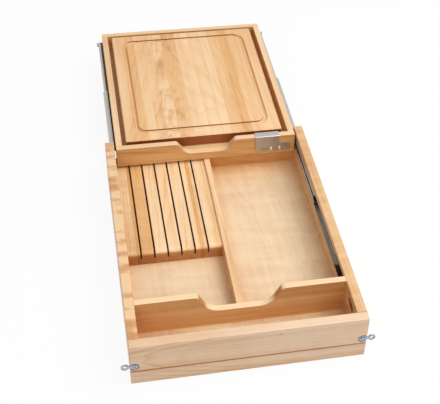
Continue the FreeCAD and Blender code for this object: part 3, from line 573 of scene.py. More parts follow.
def seal(tree, shader, wood, colour, place, grain, settings, tints, slot=0.008, level_corners=0.0,
         roughness=(0.36, 0.52)):
    """Paints shade on a wood's upright faces, inner corners, slots and grooves and a highlight on its top,
    tints its ends, pales its worn and lit edges, and puts it under lacquer that slots lack.
    """
    shares = dict(TINTS, **tints)
    edge = use(tree, rubbed_edges(), {"Place": place, "Width": settings.wear})["Mask"]
    faces = use(tree, faces_and_hollows(), {
        "Grain": GRAIN[grain], "Slot Reach": slot, "Level Corners": level_corners})
    level = sums(tree, "SUBTRACT", 1.0, faces["Side"])
    # Painted highlight: level faces mixed towards pale.
    colour = masked(tree, colour, level, shares["top"], settings.pale)
    # Painted shade on upright faces, in inner corners, slots and grooves and over end grain, besides the
    # end grain's own tint.
    for mask, kind, tint in (
        ("Side", "side", settings.side), ("End", "end", settings.end),
        ("End", "soaked_and_shaded", settings.hollow), ("Corner", "corner", settings.side),
        ("Hollow", "hollow", settings.hollow), ("Hollow", "groove_shade", settings.end),
    ):
        colour = masked(tree, colour, faces[mask], shares[kind], tint, "MULTIPLY")
    # Edges paler: wear, and a painted highlight along the arrises.
    colour = masked(tree, colour, edge, EDGE_WEAR_AND_HIGHLIGHT_SHARE, settings.pale)
    tree.links.new(colour, shader.inputs["Base Color"])
    gloss = span(tree, wood["Gloss"], 0.0, 1.0, *roughness)
    tree.links.new(sums(tree, "MAXIMUM", gloss, faces["Hollow"]), shader.inputs["Roughness"])
    coat = sums(tree, "MULTIPLY_ADD", faces["Hollow"], -settings.sheen, settings.sheen, clamp=True)
    tree.links.new(coat, shader.inputs["Coat Weight"])
    raise_marks(tree, shader, wood["Height"], FIBRE_STRENGTH, FIBRE_DEPTH)
    shader.inputs["Coat Roughness"].default_value = LACQUER_ROUGHNESS
    shader.inputs["IOR"].default_value = WOOD_IOR


# A knot is this much wider than tall, dark within the first distance and gone at the second.
KNOT_WIDENING = 1.0 / 0.45
KNOT_DARK, KNOT_GONE = 0.6 * MM, 1.8 * MM
# Where a stain is full and where it ends, as shares of its reach, and how ragged its edge is.
STAIN_FULL, STAIN_END = 0.9, 1.7
STAIN_RAGGED = 1.2


def pin_knot(tree, colour, centre, settings):
    """A small dark knot in an upright board, at a place (x, z)."""
    x, _, z = split(tree, own_place(tree))
    away = away_from(tree, (x, z), centre, (KNOT_WIDENING, 1.0))
    mark = span(tree, away, KNOT_GONE, KNOT_DARK)
    return masked(tree, colour, mark, 0.8, between(settings.amber, settings.hollow, 0.5))


def stain(tree, colour, centre, reach, tint, share):
    """A soft patch of deeper wood about a place (x, y), with a ragged edge."""
    place = own_place(tree)
    away = away_from(tree, split(tree, place)[:2], centre, reach)
    ragged = cloud(tree, place, (90.0, 30.0, 90.0), 2.0, 0.6).outputs[0]
    away = sums(tree, "MULTIPLY_ADD", ragged, STAIN_RAGGED, away)
    return masked(tree, colour, span(tree, away, STAIN_END, STAIN_FULL), share, tint)


def maple_board(node, settings):
    """The finish of one solid maple board."""
    board = dict(BOARD, **MAPLE_BOARDS[node])
    finish, tree, shader = new_finish(node + "_maple")
    place = grain_place(tree, board["axes"], board["shift"])
    wood = use(tree, sawn_wood(), {
        "Place": place, "Pale": between(settings.pale, settings.golden, board["warmth"]),
        "Dark": between(settings.golden, settings.amber, board["deep"]),
        "Ring Gap": settings.ring_gap, "Heart Depth": board["heart"], "Heart Lean": board["lean"],
        "Wander": 0.012, "Rings": board["rings"], "Streaks": board["streaks"], "Blotches": 0.35,
        "Curl": board["curl"], "Curl Lean": board["curl_lean"], "Flecks": 0.16})
    colour = wood["Color"]
    if board["knot"]:
        colour = pin_knot(tree, colour, board["knot"], settings)
    colour = mix(tree, 1.0, colour, board["tint"] + (1.0,), "MULTIPLY")
    seal(tree, shader, wood, colour, place, board["axes"][0], settings,
         dict({"corner": 0.6}, **board["tints"]), board["slot"], 0.0, (0.34, 0.5))
    return finish


class KNIFEDRAWER_OT_boards(DrawerStep, bpy.types.Operator):
    """Finishes the solid maple boards of the drawer and its tray"""

    bl_idname = "knife_drawer.boards"
    bl_label = "Maple boards"

    def execute(self, context):
        for node in MAPLE_BOARDS:
            dress([node], maple_board(node, context.scene.knife_drawer.wood))
        return {"FINISHED"}


# Low eyes in the floor's veneer at (x, y), how far each reaches, and how far it lifts the grain.
FLOOR_EYES = ((0.1446, -0.1499), (0.1427, -0.2248))
EYE_REACH = (0.030, 0.011)
EYE_LIFT = 0.03
# One pale and one dark ply together, and where painted shade darkens the floor under the tray's front,
# along y.
PLY_PAIR = 2.2 * MM
UNDER_TRAY_SHADE = (-0.03, 0.05)


def floor_eyes(tree, place, eyes):
    """The place with the grain lifted round a few low eyes, each at (x, y) on the floor."""
    across, along, _ = split(tree, own_place(tree))
    for eye in eyes:
        away = away_from(tree, (across, along), eye, EYE_REACH)
        lift = span(tree, away, 1.6, 0.0, 0.0, EYE_LIFT)
        place = vectors(tree, "ADD", place, joined(tree, 0.0, 0.0, lift))
    return place


class KNIFEDRAWER_OT_floors(DrawerStep, bpy.types.Operator):
    """Finishes the birch plywood floors"""

    bl_idname = "knife_drawer.floors"
    bl_label = "Plywood floors"

    def execute(self, context):
        settings = context.scene.knife_drawer.wood
        finish, tree, shader = new_finish("floor_birch_plywood")
        place = grain_place(tree, "YXZ", (0.7, 0.13, 0.0))
        wood = use(tree, sawn_wood(), {
            "Place": floor_eyes(tree, place, FLOOR_EYES), "Pale": settings.birch,
            "Dark": between(settings.birch, settings.amber, 0.5), "Ring Gap": 0.013,
            "Heart Depth": 0.03, "Heart Lean": 0.2, "Wander": 0.05, "Rings": 0.2, "Streaks": 0.3,
            "Blotches": 0.35, "Curl": 0.3, "Curl Lean": 0.1, "Quilt": 0.012, "Flecks": 0.35})
        turns = sums(tree, "MULTIPLY", split(tree, place)[2], 2.0 * math.pi / PLY_PAIR)
        plies = span(tree, sums(tree, "SINE", turns), 0.1, 0.6, 0.0, 0.35)
        upright = span(tree, sums(tree, "ABSOLUTE", split(tree, facing(tree))[2]), 0.8, 0.3)
        colour = masked(tree, wood["Color"], plies, upright, settings.amber)
        # Painted shadow of the tray's front on the floor.
        shade = span(tree, split(tree, own_place(tree))[1], *UNDER_TRAY_SHADE)
        colour = masked(tree, colour, shade, 0.7, settings.side, "MULTIPLY")
        # Painted shade on the floor's upright edges and, with level corners kept, in its corners on level
        # faces too.
        seal(tree, shader, wood, colour, place, "Y", settings,
             {"side": 0.5, "end": 0.3, "corner": 0.6}, level_corners=1.0, roughness=(0.38, 0.52))
        dress(["drawer_floor", "tray_floor"], finish)
        return {"FINISHED"}


def strip_ramp(tree, share, strips, low, high):
    """A stepped ramp over x: each strip starts at its x in mm and has one colour."""
    ramp = put(tree, "ValToRGB", {0: share})
    steps = ramp.color_ramp
    steps.interpolation = "CONSTANT"
    for index, (start, colour) in enumerate(strips):
        where = min(max((start - low) / (high - low), 0.0), 1.0)
        step = steps.elements[index] if index < 2 else steps.elements.new(where)
        step.position = where
        step.color = colour
    return ramp.outputs[0]


# Half the width of a glue line, in mm, and the length of log that the strips are sawn from, in m.
GLUE_REACH = 0.22
LOG_LENGTH = 7.0


def glued_strips(tree, strips, low, high, place, settings):
    """Colours, log places, figure and glue lines of strips glued side by side across x.

    A strip is its start in mm, how golden its pale and how amber its dark wood is, and its curl.
    """
    pale, golden, amber = tuple(settings.pale), tuple(settings.golden), tuple(settings.amber)
    across = split(tree, place)[1]
    share = put(tree, "MapRange", {0: across, 1: low * MM, 2: high * MM, 3: 0.0, 4: 1.0}).outputs[0]
    line = GLUE_REACH / (high - low)
    lights, darks, marks = [], [], []
    for index, (start, light, dark, curl) in enumerate(strips):
        lights.append((start, between(pale, golden, light)))
        darks.append((start, between(golden, amber, dark)))
        # Each strip is sawn from its own place along the log and from its own depth.
        length, depth = math.fmod(0.37 + 0.618 * index, 1.0), math.fmod(0.41 * index, 1.0)
        marks.append((start, (length, depth, curl, 1.0)))
    light = strip_ramp(tree, share, lights, low, high)
    dark = strip_ramp(tree, share, darks, low, high)
    here = strip_ramp(tree, share, marks, low, high)
    before = strip_ramp(tree, sums(tree, "SUBTRACT", share, line), marks, low, high)
    after = strip_ramp(tree, sums(tree, "ADD", share, line), marks, low, high)
    joint = use(tree, glue_line(), {"Here": before, "Beside": after})["Mask"]
    length, depth, curl = put(tree, "SeparateColor", {0: here}).outputs
    shift = joined(
        tree, sums(tree, "MULTIPLY", length, LOG_LENGTH), sums(tree, "MULTIPLY", depth, 0.04),
        sums(tree, "MULTIPLY", depth, 0.3))
    return light, dark, vectors(tree, "ADD", place, shift), curl, joint


BOARD_STAVES = (
    (-146.0, 0.45, 0.3, 0.15), (-122.0, 0.9, 0.5, 0.2), (-103.0, 0.2, 0.1, 0.1),
    (-86.0, 0.3, 0.3, 0.35), (-68.0, 0.35, 0.6, 0.9), (-46.0, 0.6, 0.5, 1.0),
    (-30.0, 0.45, 0.4, 0.5), (-18.0, 0.3, 0.2, 0.3), (-5.0, 0.05, 0.1, 0.1),
    (10.0, 0.25, 0.2, 0.15), (34.0, 0.0, 0.1, 0.1), (51.0, 0.5, 0.3, 0.2),
    (66.0, 0.75, 0.4, 0.2), (74.0, 1.0, 0.7, 0.5), (90.0, 0.65, 0.3, 0.2),
    (106.0, 0.4, 0.2, 0.15), (130.0, 0.5, 0.3, 0.15),
)
BOARD_EDGES = (-146.0, 144.6)
# Deeper patches of the board: middle (x, y), half width and length, how amber, and their share.
BOARD_STAINS = (
    ((-0.035, 0.275), (0.020, 0.075), 0.0, 0.6), ((-0.057, 0.297), (0.011, 0.024), 1.0, 0.4),
    ((0.087, 0.285), (0.012, 0.080), 0.3, 0.6),
)
# Where painted shade makes the back half of the board darker and more golden, along y.
BOARD_SHADED_HALF = (0.14, 0.36)


class KNIFEDRAWER_OT_board(DrawerStep, bpy.types.Operator):
    """Finishes the cutting board, glued from maple staves"""

    bl_idname = "knife_drawer.board"
    bl_label = "Cutting board"

    def execute(self, context):
        settings = context.scene.knife_drawer.wood
        finish, tree, shader = new_finish("board_edge_glued_maple")
        place = grain_place(tree, "YXZ")
        light, dark, log, curl, joint = glued_strips(tree, BOARD_STAVES, *BOARD_EDGES, place, settings)
        wood = use(tree, sawn_wood(), {
            "Place": log, "Pale": light, "Dark": dark, "Ring Gap": settings.ring_gap,
            "Heart Depth": 0.05, "Heart Lean": 0.05, "Wander": 0.016,
            "Rings": sums(tree, "MULTIPLY_ADD", curl, 0.35, 0.3),
            "Quilt": sums(tree, "MULTIPLY", curl, 0.012), "Streaks": 0.5, "Blotches": 0.4,
            "Curl": sums(tree, "MULTIPLY", curl, 0.4), "Flecks": 0.15})
        colour = masked(tree, wood["Color"], joint, 0.4, settings.amber)
        for centre, reach, depth, share in BOARD_STAINS:
            tint = between(settings.golden, settings.amber, depth)
            colour = stain(tree, colour, centre, reach, tint, share)
        # Painted shade: the back of the board takes the side tint.
        back_shade = span(tree, split(tree, place)[0], *BOARD_SHADED_HALF)
        colour = masked(tree, colour, back_shade, 0.3, settings.side, "MULTIPLY")
        # Painted shade over the board's end grain and in its juice groove.
        seal(tree, shader, wood, colour, place, "Y", settings,
             {"corner": 0.4, "hollow": 0.1, "soaked_and_shaded": 0.75, "groove_shade": 0.8}, 0.014)
        dress(["cutting_board"], finish)
        return {"FINISHED"}


BLOCK_STRIPS = (
    (-168.25, 0.35, 0.3, 0.3), (-151.0, 1.35, 0.8, 0.2), (-146.0, 0.95, 0.5, 0.35),
    (-120.0, 0.2, 0.2, 0.2), (-98.0, 0.1, 0.1, 0.1), (-75.0, 0.15, 0.2, 0.1),
    (-53.0, 0.1, 0.1, 0.1), (-43.5, 1.2, 0.7, 0.2), (-37.5, 0.1, 0.2, 0.3),
    (-27.0, 0.2, 0.2, 0.1), (-13.0, 0.6, 0.3, 0.1),
)
BLOCK_EDGES = (-168.25, -5.9)


class KNIFEDRAWER_OT_block(DrawerStep, bpy.types.Operator):
    """Finishes the knife block, laminated from maple strips"""

    bl_idname = "knife_drawer.block"
    bl_label = "Knife block"

    def execute(self, context):
        settings = context.scene.knife_drawer.wood
        finish, tree, shader = new_finish("block_laminated_maple")
        place = grain_place(tree, "YXZ")
        light, dark, log, curl, joint = glued_strips(tree, BLOCK_STRIPS, *BLOCK_EDGES, place, settings)
        wood = use(tree, sawn_wood(), {
            "Place": log, "Pale": light, "Dark": dark, "Ring Gap": settings.ring_gap,
            "Heart Depth": 0.05, "Heart Lean": 0.03, "Wander": 0.012, "Rings": 0.4,
            "Streaks": 0.8, "Blotches": 0.5, "Curl": curl, "Flecks": 0.2})
        colour = masked(tree, wood["Color"], joint, 0.5, settings.amber)
        seal(tree, shader, wood, colour, place, "Y", settings, {"side": 0.6})
        dress(["knife_block"], finish)
        return {"FINISHED"}


# Metal and plastic


# Width of the worn edges and depth of the rolled lines, then how far the lines are towards black,
# how worn the edges are and how dark a band is.
METAL_RUB = 0.4 * MM
METAL_RELIEF = 0.1 * MM
LINE_SHADE = 0.14
METAL_WEAR = 0.5
BAND_SHARE = 0.92


def metal_finish(name, colour, worn, axes, roughness, fineness=1.0, bump=0.12, corner_shade=None, bands=()):
    """A metal finish with lines along one axis, worn edges, painted shade in corners and dark bands.

    Corner shade is (reach, share) of the painted shade in corners and recesses. A band is (axis, distance
    where it is clear, distance where it is dark); the bands paint a black sleeve and painted shade.
    """
    finish, tree, shader = new_finish(name)
    place = grain_place(tree, axes)
    metal = use(tree, drawn_metal(), {
        "Place": place, "Fineness": fineness, "Smooth": roughness[0], "Rough": roughness[1]})
    edge = use(tree, rubbed_edges(), {"Place": place, "Width": METAL_RUB})["Mask"]
    shade = mix(tree, metal["Shade"], between(colour, BLACK, LINE_SHADE), colour)
    shade = masked(tree, shade, edge, METAL_WEAR, worn)
    # Painted shade: ambient occlusion darkens corners and recesses.
    if corner_shade:
        reach, share = corner_shade
        hollows = use(tree, faces_and_hollows(), {"Corner Reach": reach, "Level Corners": 1.0})
        shade = masked(tree, shade, hollows["Corner"], share, CORNER_SHADE_BROWN)
    # Dark bands: the outer member's black sleeve, and painted shade on the inner member.
    for axis, clear, dark in bands:
        away = sums(tree, "ABSOLUTE", split(tree, own_place(tree))[axis])
        shade = masked(tree, shade, span(tree, away, clear, dark), BAND_SHARE, SLEEVE_AND_SHADE_BROWN)
    tree.links.new(shade, shader.inputs["Base Color"])
    tree.links.new(metal["Roughness"], shader.inputs["Roughness"])
    raise_marks(tree, shader, metal["Height"], bump, METAL_RELIEF)
    shader.inputs["Metallic"].default_value = 1.0
    return finish


def screw_finish(settings):
    """Bright zinc, made once for all the screws but the keeper's."""
    name = "screw_bright_zinc"
    # The screws take painted shade in their cross recesses.
    return bpy.data.materials.get(name) or metal_finish(
        name, tuple(settings.zinc), tone(236, 238, 240), "XYZ", (0.16, 0.3), 0.4, 0.12, (0.002, 0.9))


def plastic_finish(settings):
    """Fine grained black plastic, smudged and paler along its edges."""
    finish, tree, shader = new_finish("stop_black_plastic")
    place = grain_place(tree, "XYZ")
    grit = cloud(tree, place, (1900.0, 1900.0, 1900.0), 2.0, 0.6).outputs[0]
    smudge = cloud(tree, place, (120.0, 120.0, 120.0), 2.0).outputs[0]
    edge = use(tree, rubbed_edges(), {"Place": place, "Width": 0.6 * MM})["Mask"]
    base = mix(tree, span(tree, smudge, 0.3, 0.7), tuple(settings.plastic), tone(52, 34, 27))
    base = masked(tree, base, edge, 0.5, tone(92, 90, 88))
    tree.links.new(base, shader.inputs["Base Color"])
    tree.links.new(span(tree, smudge, 0.25, 0.75, 0.75, 0.9), shader.inputs["Roughness"])
    raise_marks(tree, shader, grit, 0.3, 0.2 * MM)
    shader.inputs["Specular IOR Level"].default_value = 0.1
    return finish


# The front end of the outer member has a black sleeve, which starts here along y. The inner member has
# painted shade on its side towards the tray, which starts here along x. See metal_finish for a band.
SLEEVE_BAND = (1, 0.2660, 0.2685)
TRAY_SIDE_SHADE = (0, 0.1705, 0.1680)


class KNIFEDRAWER_OT_slides(DrawerStep, bpy.types.Operator):
    """Finishes the steel members, the ball cages, the stops and the plugs"""

    bl_idname = "knife_drawer.slides"
    bl_label = "Slide members"

    def execute(self, context):
        settings = context.scene.knife_drawer.metal
        steel = tuple(settings.steel)
        rolled = {}
        # Each member takes painted shade in its corners.
        for member, name, corner_shade, bands in (
            ("outer", "slide_outer_steel", (0.0045, 0.95), (SLEEVE_BAND,)),
            ("middle", "slide_zinc_plated_steel", (0.0045, 0.95), ()),
            ("inner", "slide_inner_steel", (0.008, 0.9), (TRAY_SIDE_SHADE,)),
        ):
            rolled[member] = metal_finish(
                name, steel, WORN_STEEL, "YXZ", (0.34, 0.46), 0.5, 0.06, corner_shade, bands)
        cage = metal_finish(
            "cage_bright_steel", between(steel, (0.2, 0.19, 0.17, 1.0), 0.35), tone(214, 210, 200),
            "YXZ", (0.28, 0.5))
        plastic = plastic_finish(settings)
        for side, _ in SIDES:
            for member, finish in rolled.items():
                dress([f"{side}_{member}_member"], finish)
            dress([side + "_outer_cage", side + "_inner_cage"], cage)
            dress([side + "_slide_stop", side + "_middle_plug"], plastic)
        return {"FINISHED"}


# New pieces


def make_piece(name, build, finish, body):
    """A new object from a mesh that build() fills, riding on a body."""
    mesh = bpy.data.meshes.new(name)
    shell = bmesh.new()
    build(shell)
    for face in shell.faces:
        face.smooth = True
    shell.to_mesh(mesh)
    shell.free()
    mesh.materials.append(finish)
    piece = bpy.data.objects.new(name, mesh)
    bpy.context.scene.collection.objects.link(piece)
    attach(piece, body)
    return piece


def skin(shell, rings):
    """Faces between rings of corners, from one to the next. A ring may be a single point."""
    steps = max(len(ring) for ring in rings)
    for lower, upper in zip(rings, rings[1:]):
        for step in range(steps):
            after = (step + 1) % steps
            corners = [lower[step % len(lower)], lower[after % len(lower)]]
            corners += [upper[after % len(upper)], upper[step % len(upper)]]
            kept = list(dict.fromkeys(corners))
            if len(kept) > 2:
                shell.faces.new(kept)


def drawn(shell, outline, start, end, ease=0.4 * MM):
    """A bar of one outline of (x, z) along Y, with its two ends eased."""
    count = len(outline)
    middle = Vector((sum(x for x, z in outline) / count, sum(z for x, z in outline) / count))
    reach = max((Vector(point) - middle).length for point in outline)
    rings = []
    for y, inset in ((start, ease), (start + ease, 0.0), (end - ease, 0.0), (end, ease)):
        share = 1.0 - inset / reach
        rings.append([shell.verts.new((
            middle.x + (x - middle.x) * share, y, middle.y + (z - middle.y) * share)) for x, z in outline])
    skin(shell, rings)
    shell.faces.new(rings[0][::-1])
    shell.faces.new(rings[-1])
    bmesh.ops.recalc_face_normals(shell, faces=shell.faces)


def round_outline(x, z, wide, tall, radius, steps=5):
    """A rectangle with round corners about (x, z)."""
    points = []
    for quarter, (side, up) in enumerate(((1, 1), (-1, 1), (-1, -1), (1, -1))):
        for step in range(steps):
            angle = 0.5 * math.pi * (quarter + step / (steps - 1))
            points.append((
                x + side * (0.5 * wide - radius) + radius * math.cos(angle),
                z + up * (0.5 * tall - radius) + radius * math.sin(angle)))
    return points


# The section of a slide. An inset is how far a thing is from the channel's wall, towards the tray.
# The lips of the middle member are below its rims, and the plate closes the back of the inner one.
LIP_INSET = 9.45 * MM
LIP_BELOW_RIM = 3.7 * MM
LIP_WIDE, LIP_TALL, LIP_ROUND = 1.3 * MM, 2.6 * MM, 0.6 * MM
PLATE_INSET = 6.8 * MM
PLATE_WIDE, PLATE_TALL, PLATE_ROUND = 11.7 * MM, 10.4 * MM, 1.5 * MM
PLATE_GAP, PLATE_REACH, PLATE_EASE = 0.05 * MM, 2.2 * MM, 0.8 * MM
# The rows of balls: their cage, their inset, and how far they are above and below the middle.
BALL_SEATS = (("outer", 4.6 * MM, 11.0 * MM), ("inner", 7.4 * MM, 7.1 * MM))
# The low screws: their member, the body that it is fixed to, and their inset.
SCREW_SEATS = (("outer", "drawer", 1.1 * MM), ("inner", "upper_tray", 11.6 * MM))
SLIDE_SCREWS = 3


def slide_wall(side):
    """How far the wall of a slide's channel is from the middle of the drawer."""
    return max(abs(corner.x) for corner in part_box(side + "_outer_member"))


class KNIFEDRAWER_OT_rolled_edges(DrawerStep, bpy.types.Operator):
    """Adds the rolled edges of the middle members and the end plates of the inner members"""

    bl_idname = "knife_drawer.rolled_edges"
    bl_label = "Rolled edges"

    def execute(self, context):
        # The rolled edges are real; their steel is painted lighter than the slide steel, as a highlight
        # along them.
        bright = metal_finish(
            "slide_rolled_edge_steel", tone(212, 206, 198), tone(232, 228, 222), "YXZ", (0.3, 0.4),
            0.5, 0.06)
        # The end plates take the inner member's steel, with its painted shade.
        shaded = bpy.data.materials["slide_inner_steel"]
        for side, hand in SIDES:
            wall = slide_wall(side)
            low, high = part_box(side + "_middle_member")
            middle = 0.5 * (low.z + high.z)
            rise = 0.5 * (high.z - low.z) - LIP_BELOW_RIM

            def edges(shell):
                for up in (-rise, rise):
                    drawn(shell, round_outline(
                        hand * (wall - LIP_INSET), middle + up, LIP_WIDE, LIP_TALL, LIP_ROUND),
                        low.y, high.y)

            make_piece(side + "_middle_rolled_edges", edges, bright, side + "_middle")
            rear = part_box(side + "_inner_member")[1].y

            def plate(shell):
                drawn(shell, round_outline(
                    hand * (wall - PLATE_INSET), middle, PLATE_WIDE, PLATE_TALL, PLATE_ROUND),
                    rear + PLATE_GAP, rear + PLATE_REACH, PLATE_EASE)

            make_piece(side + "_inner_end_plate", plate, shaded, "upper_tray")
        return {"FINISHED"}


class KNIFEDRAWER_OT_balls(DrawerStep, bpy.types.Operator):
    """Puts the steel balls into the two cages of each slide, in two rows each"""

    bl_idname = "knife_drawer.balls"
    bl_label = "Bearing balls"

    def execute(self, context):
        settings = context.scene.knife_drawer.slide
        metal = context.scene.knife_drawer.metal
        chrome = metal_finish(
            "ball_polished_steel", tuple(metal.steel), tone(235, 235, 235), "XYZ", (0.08, 0.18), 0.5)
        for side, hand in SIDES:
            wall = slide_wall(side)
            low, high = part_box(side + "_outer_member")
            middle = 0.5 * (low.z + high.z)
            for run, inset, spread in BALL_SEATS:
                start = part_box(f"{side}_{run}_cage")[0].y + settings.ball_first

                def balls(shell):
                    for index in range(settings.ball_count):
                        y = start + index * settings.ball_pitch
                        for up in (-spread, spread):
                            bmesh.ops.create_icosphere(
                                shell, subdivisions=3, radius=settings.ball_radius,
                                matrix=Matrix.Translation((hand * (wall - inset), y, middle + up)))

                make_piece(f"{side}_{run}_balls", balls, chrome, f"{side}_{run}_bearing")
        return {"FINISHED"}


def turned(shell, profile, steps=40):
    """Turns a profile of (distance from the axis, height) round Z, from its foot to its top."""
    rings = []
    for radius, height in profile:
        if radius == 0.0:
            rings.append([shell.verts.new((0.0, 0.0, height))])
            continue
        ring = []
        for step in range(steps):
            angle = 2.0 * math.pi * step / steps
            ring.append(shell.verts.new((radius * math.cos(angle), radius * math.sin(angle), height)))
        rings.append(ring)
    skin(shell, rings)
    bmesh.ops.recalc_face_normals(shell, faces=shell.faces)


def cross_recess(reach, width, depth, top):
    """A cutter with the tapered arms of a cross recess, its mouth at height top."""
    cutter = bmesh.new()
    for turn in (0.0, 0.5 * math.pi):
        rim = []
        for height, share in ((top - depth, 0.45), (top + 0.4 * depth, 1.1)):
            for x, y in ((-reach, -width), (reach, -width), (reach, width), (-reach, width)):
                rim.append(cutter.verts.new((x * share, y * (0.6 + 0.4 * share), height)))
        for face in ((3, 2, 1, 0), (4, 5, 6, 7), (0, 1, 5, 4), (1, 2, 6, 5), (2, 3, 7, 6), (3, 0, 4, 7)):
            cutter.faces.new([rim[i] for i in face])
        bmesh.ops.rotate(cutter, verts=rim, cent=(0.0, 0.0, 0.0), matrix=Matrix.Rotation(turn, 3, "Z"))
    bmesh.ops.recalc_face_normals(cutter, faces=cutter.faces)
    return cutter


def loose_object(name, shell):
    """An object for a while, from a mesh in the making that is then done with."""
    mesh = bpy.data.meshes.new(name)
    shell.to_mesh(mesh)
    shell.free()
    thing = bpy.data.objects.new(name, mesh)
    bpy.context.scene.collection.objects.link(thing)
    return thing


# Arms of a cross recess: half their length and half their width as shares of the head's radius,
# and their depth as a share of its height. Then the angle from which a screw's edge is crisp.
RECESS_REACH, RECESS_HALF, RECESS_DEPTH = 0.62, 0.13, 0.68
CRISP_ANGLE = 32.0


def screw_mesh(radius, height, shank_radius, shank_length, flat=0.0, dome_steps=8):
    """A screw with its head's underside at z 0, its head up and a cross recess in it.

    The shank is eased at its tip, and flat is the share of the head's radius that isn't domed.
    """
    shell = bmesh.new()
    profile = [
        (0.0, -shank_length), (shank_radius * 0.75, -shank_length),
        (shank_radius, -shank_length + 0.4 * shank_radius), (shank_radius, -0.1 * MM),
        (shank_radius * 1.05, 0.0), (radius * 0.97, 0.0), (radius, 0.08 * height),
    ]
    for step in range(1, dome_steps + 1):
        angle = 0.5 * math.pi * step / dome_steps
        share = flat + (1.0 - flat) * math.cos(angle) if step < dome_steps else flat
        profile.append((radius * share, height * (0.25 + 0.75 * math.sin(angle))))
    if flat > 0.0:
        profile.append((0.0, height))
    turned(shell, profile)
    head = loose_object("screw", shell)
    tool = loose_object("recess", cross_recess(
        RECESS_REACH * radius, RECESS_HALF * radius, RECESS_DEPTH * height, height))
    cut = head.modifiers.new("recess", "BOOLEAN")
    cut.operation = "DIFFERENCE"
    cut.solver = "EXACT"
    cut.use_self = True
    cut.object = tool
    bpy.context.view_layer.update()
    made = bpy.data.meshes.new_from_object(head.evaluated_get(bpy.context.evaluated_depsgraph_get()))
    if len(made.vertices) == len(head.data.vertices):
        raise RuntimeError("the recess of a screw wasn't cut")
    for thing in (head, tool):
        bpy.data.objects.remove(thing)
    return made


def screw_piece(name, screw, seats, finish, body):
    """Copies of a screw as one piece: (seat, direction of the head, turn) for each."""

    def place(shell):
        for seat, out, turn in seats:
            aim = Vector(out).to_track_quat("Z", "Y").to_matrix().to_4x4()
            copy = screw.copy()
            copy.transform(Matrix.Translation(seat) @ aim @ Matrix.Rotation(turn, 4, "Z"))
            shell.from_mesh(copy)
            bpy.data.meshes.remove(copy)

    piece = make_piece(name, place, finish, body)
    piece.data.set_sharp_from_angle(angle=math.radians(CRISP_ANGLE))
    return piece


class KNIFEDRAWER_OT_slide_screws(DrawerStep, bpy.types.Operator):
    """Sets the low screws that hold the slides on the drawer and on the tray"""

    bl_idname = "knife_drawer.slide_screws"
    bl_label = "Slide screws"

    def execute(self, context):
        settings = context.scene.knife_drawer.slide
        finish = screw_finish(context.scene.knife_drawer.metal)
        screw = screw_mesh(
            settings.screw_radius, height=0.6 * MM, shank_radius=1.6 * MM, shank_length=0.4 * MM,
            flat=0.55)
        for side, hand in SIDES:
            wall = slide_wall(side)
            for member, body, inset in SCREW_SEATS:
                low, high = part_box(f"{side}_{member}_member")
                middle = 0.5 * (low.z + high.z)
                out = -hand if member == "outer" else hand
                seats = []
                for index in range(SLIDE_SCREWS):
                    y = low.y + settings.screw_first + index * settings.screw_pitch
                    turn = 0.4 + 0.9 * index
                    seats.append(((hand * (wall - inset), y, middle), (out, 0.0, 0.0), turn))
                screw_piece(f"{side}_{member}_member_screws", screw, seats, finish, body)
        return {"FINISHED"}


# Depth of a pan head and radius of its shank.
PAN_DEPTH = 1.7 * MM
PAN_SHANK = 1.9 * MM


def pan_heads(name, low, high, turns, finish, body):
    """Two pan head screws at the two ends of a box, facing forward, each with its own turn."""
    radius = 0.5 * (high.z - low.z)
    middle = 0.5 * (low.z + high.z)
    screw = screw_mesh(radius, PAN_DEPTH, PAN_SHANK, high.y - low.y - PAN_DEPTH)
    seats = []
    for x, turn in zip((low.x + radius, high.x - radius), turns):
        seats.append(((x, low.y + PAN_DEPTH, middle), (0.0, -1.0, 0.0), turn))
    return screw_piece(name, screw, seats, finish, body)


class KNIFEDRAWER_OT_keeper(DrawerStep, bpy.types.Operator):
    """Finishes the sliding keeper and sets its two pan head screws"""

    bl_idname = "knife_drawer.keeper"
    bl_label = "Keeper"

    def execute(self, context):
        metal = context.scene.knife_drawer.metal
        plate = metal_finish(
            "keeper_brushed_steel", tuple(metal.brushed), tone(240, 240, 240), "XYZ", (0.3, 0.46),
            0.8, 0.2)
        dress(["keeper_plate"], plate)
        finish = metal_finish(
            "keeper_screw_bright_steel", tone(226, 223, 220), tone(246, 246, 246), "XYZ",
            (0.16, 0.26), 0.4)
        low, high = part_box("keeper_screws")
        piece = pan_heads("keeper_pan_head_screws", low, high, (0.5, 0.2), finish, "upper_tray")
        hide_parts("keeper_screws")
        return {"FINISHED"}


class KNIFEDRAWER_OT_clips(DrawerStep, bpy.types.Operator):
    """Finishes the figure-eight clips and sets their pan head screws"""

    bl_idname = "knife_drawer.clips"
    bl_label = "Front clips"

    def execute(self, context):
        metal = context.scene.knife_drawer.metal
        # The clips take painted shade in their corners.
        clip = metal_finish(
            "clip_bright_zinc", tuple(metal.zinc), tone(226, 234, 244), "XZY", (0.18, 0.32),
            0.3, 0.12, (0.002, 0.9))
        dress(["left_front_clip", "right_front_clip"], clip)
        low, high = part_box("clip_screws")
        finish = screw_finish(metal)
        piece = pan_heads("clip_pan_head_screws", low, high, (0.6, 0.35), finish, "drawer")
        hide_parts("clip_screws")
        return {"FINISHED"}


# Stage


# Lamps: where each stands, what it looks at and the width of its square.
KEY_LAMP = ((1.1, -0.35, 2.05), (0.0, 0.0, 0.05), 1.8)
FILL_LAMP = ((-1.0, -1.7, 1.7), (0.0, -0.1, 0.05), 1.6)
FLOOR_GREY = (0.86, 0.86, 0.86, 1.0)
FLOOR_WHITE_SHARE = 0.92
# The photograph's camera: its place, its turn in degrees, its lens shift and its sensor in mm.
CAMERA_PLACE = (-0.20852, -1.35090, 1.22329)
CAMERA_TURN = (47.6905, -2.0718, -10.5929)
CAMERA_SHIFT = (-0.0835, -0.0041)
SENSOR_WIDTH = 36.0


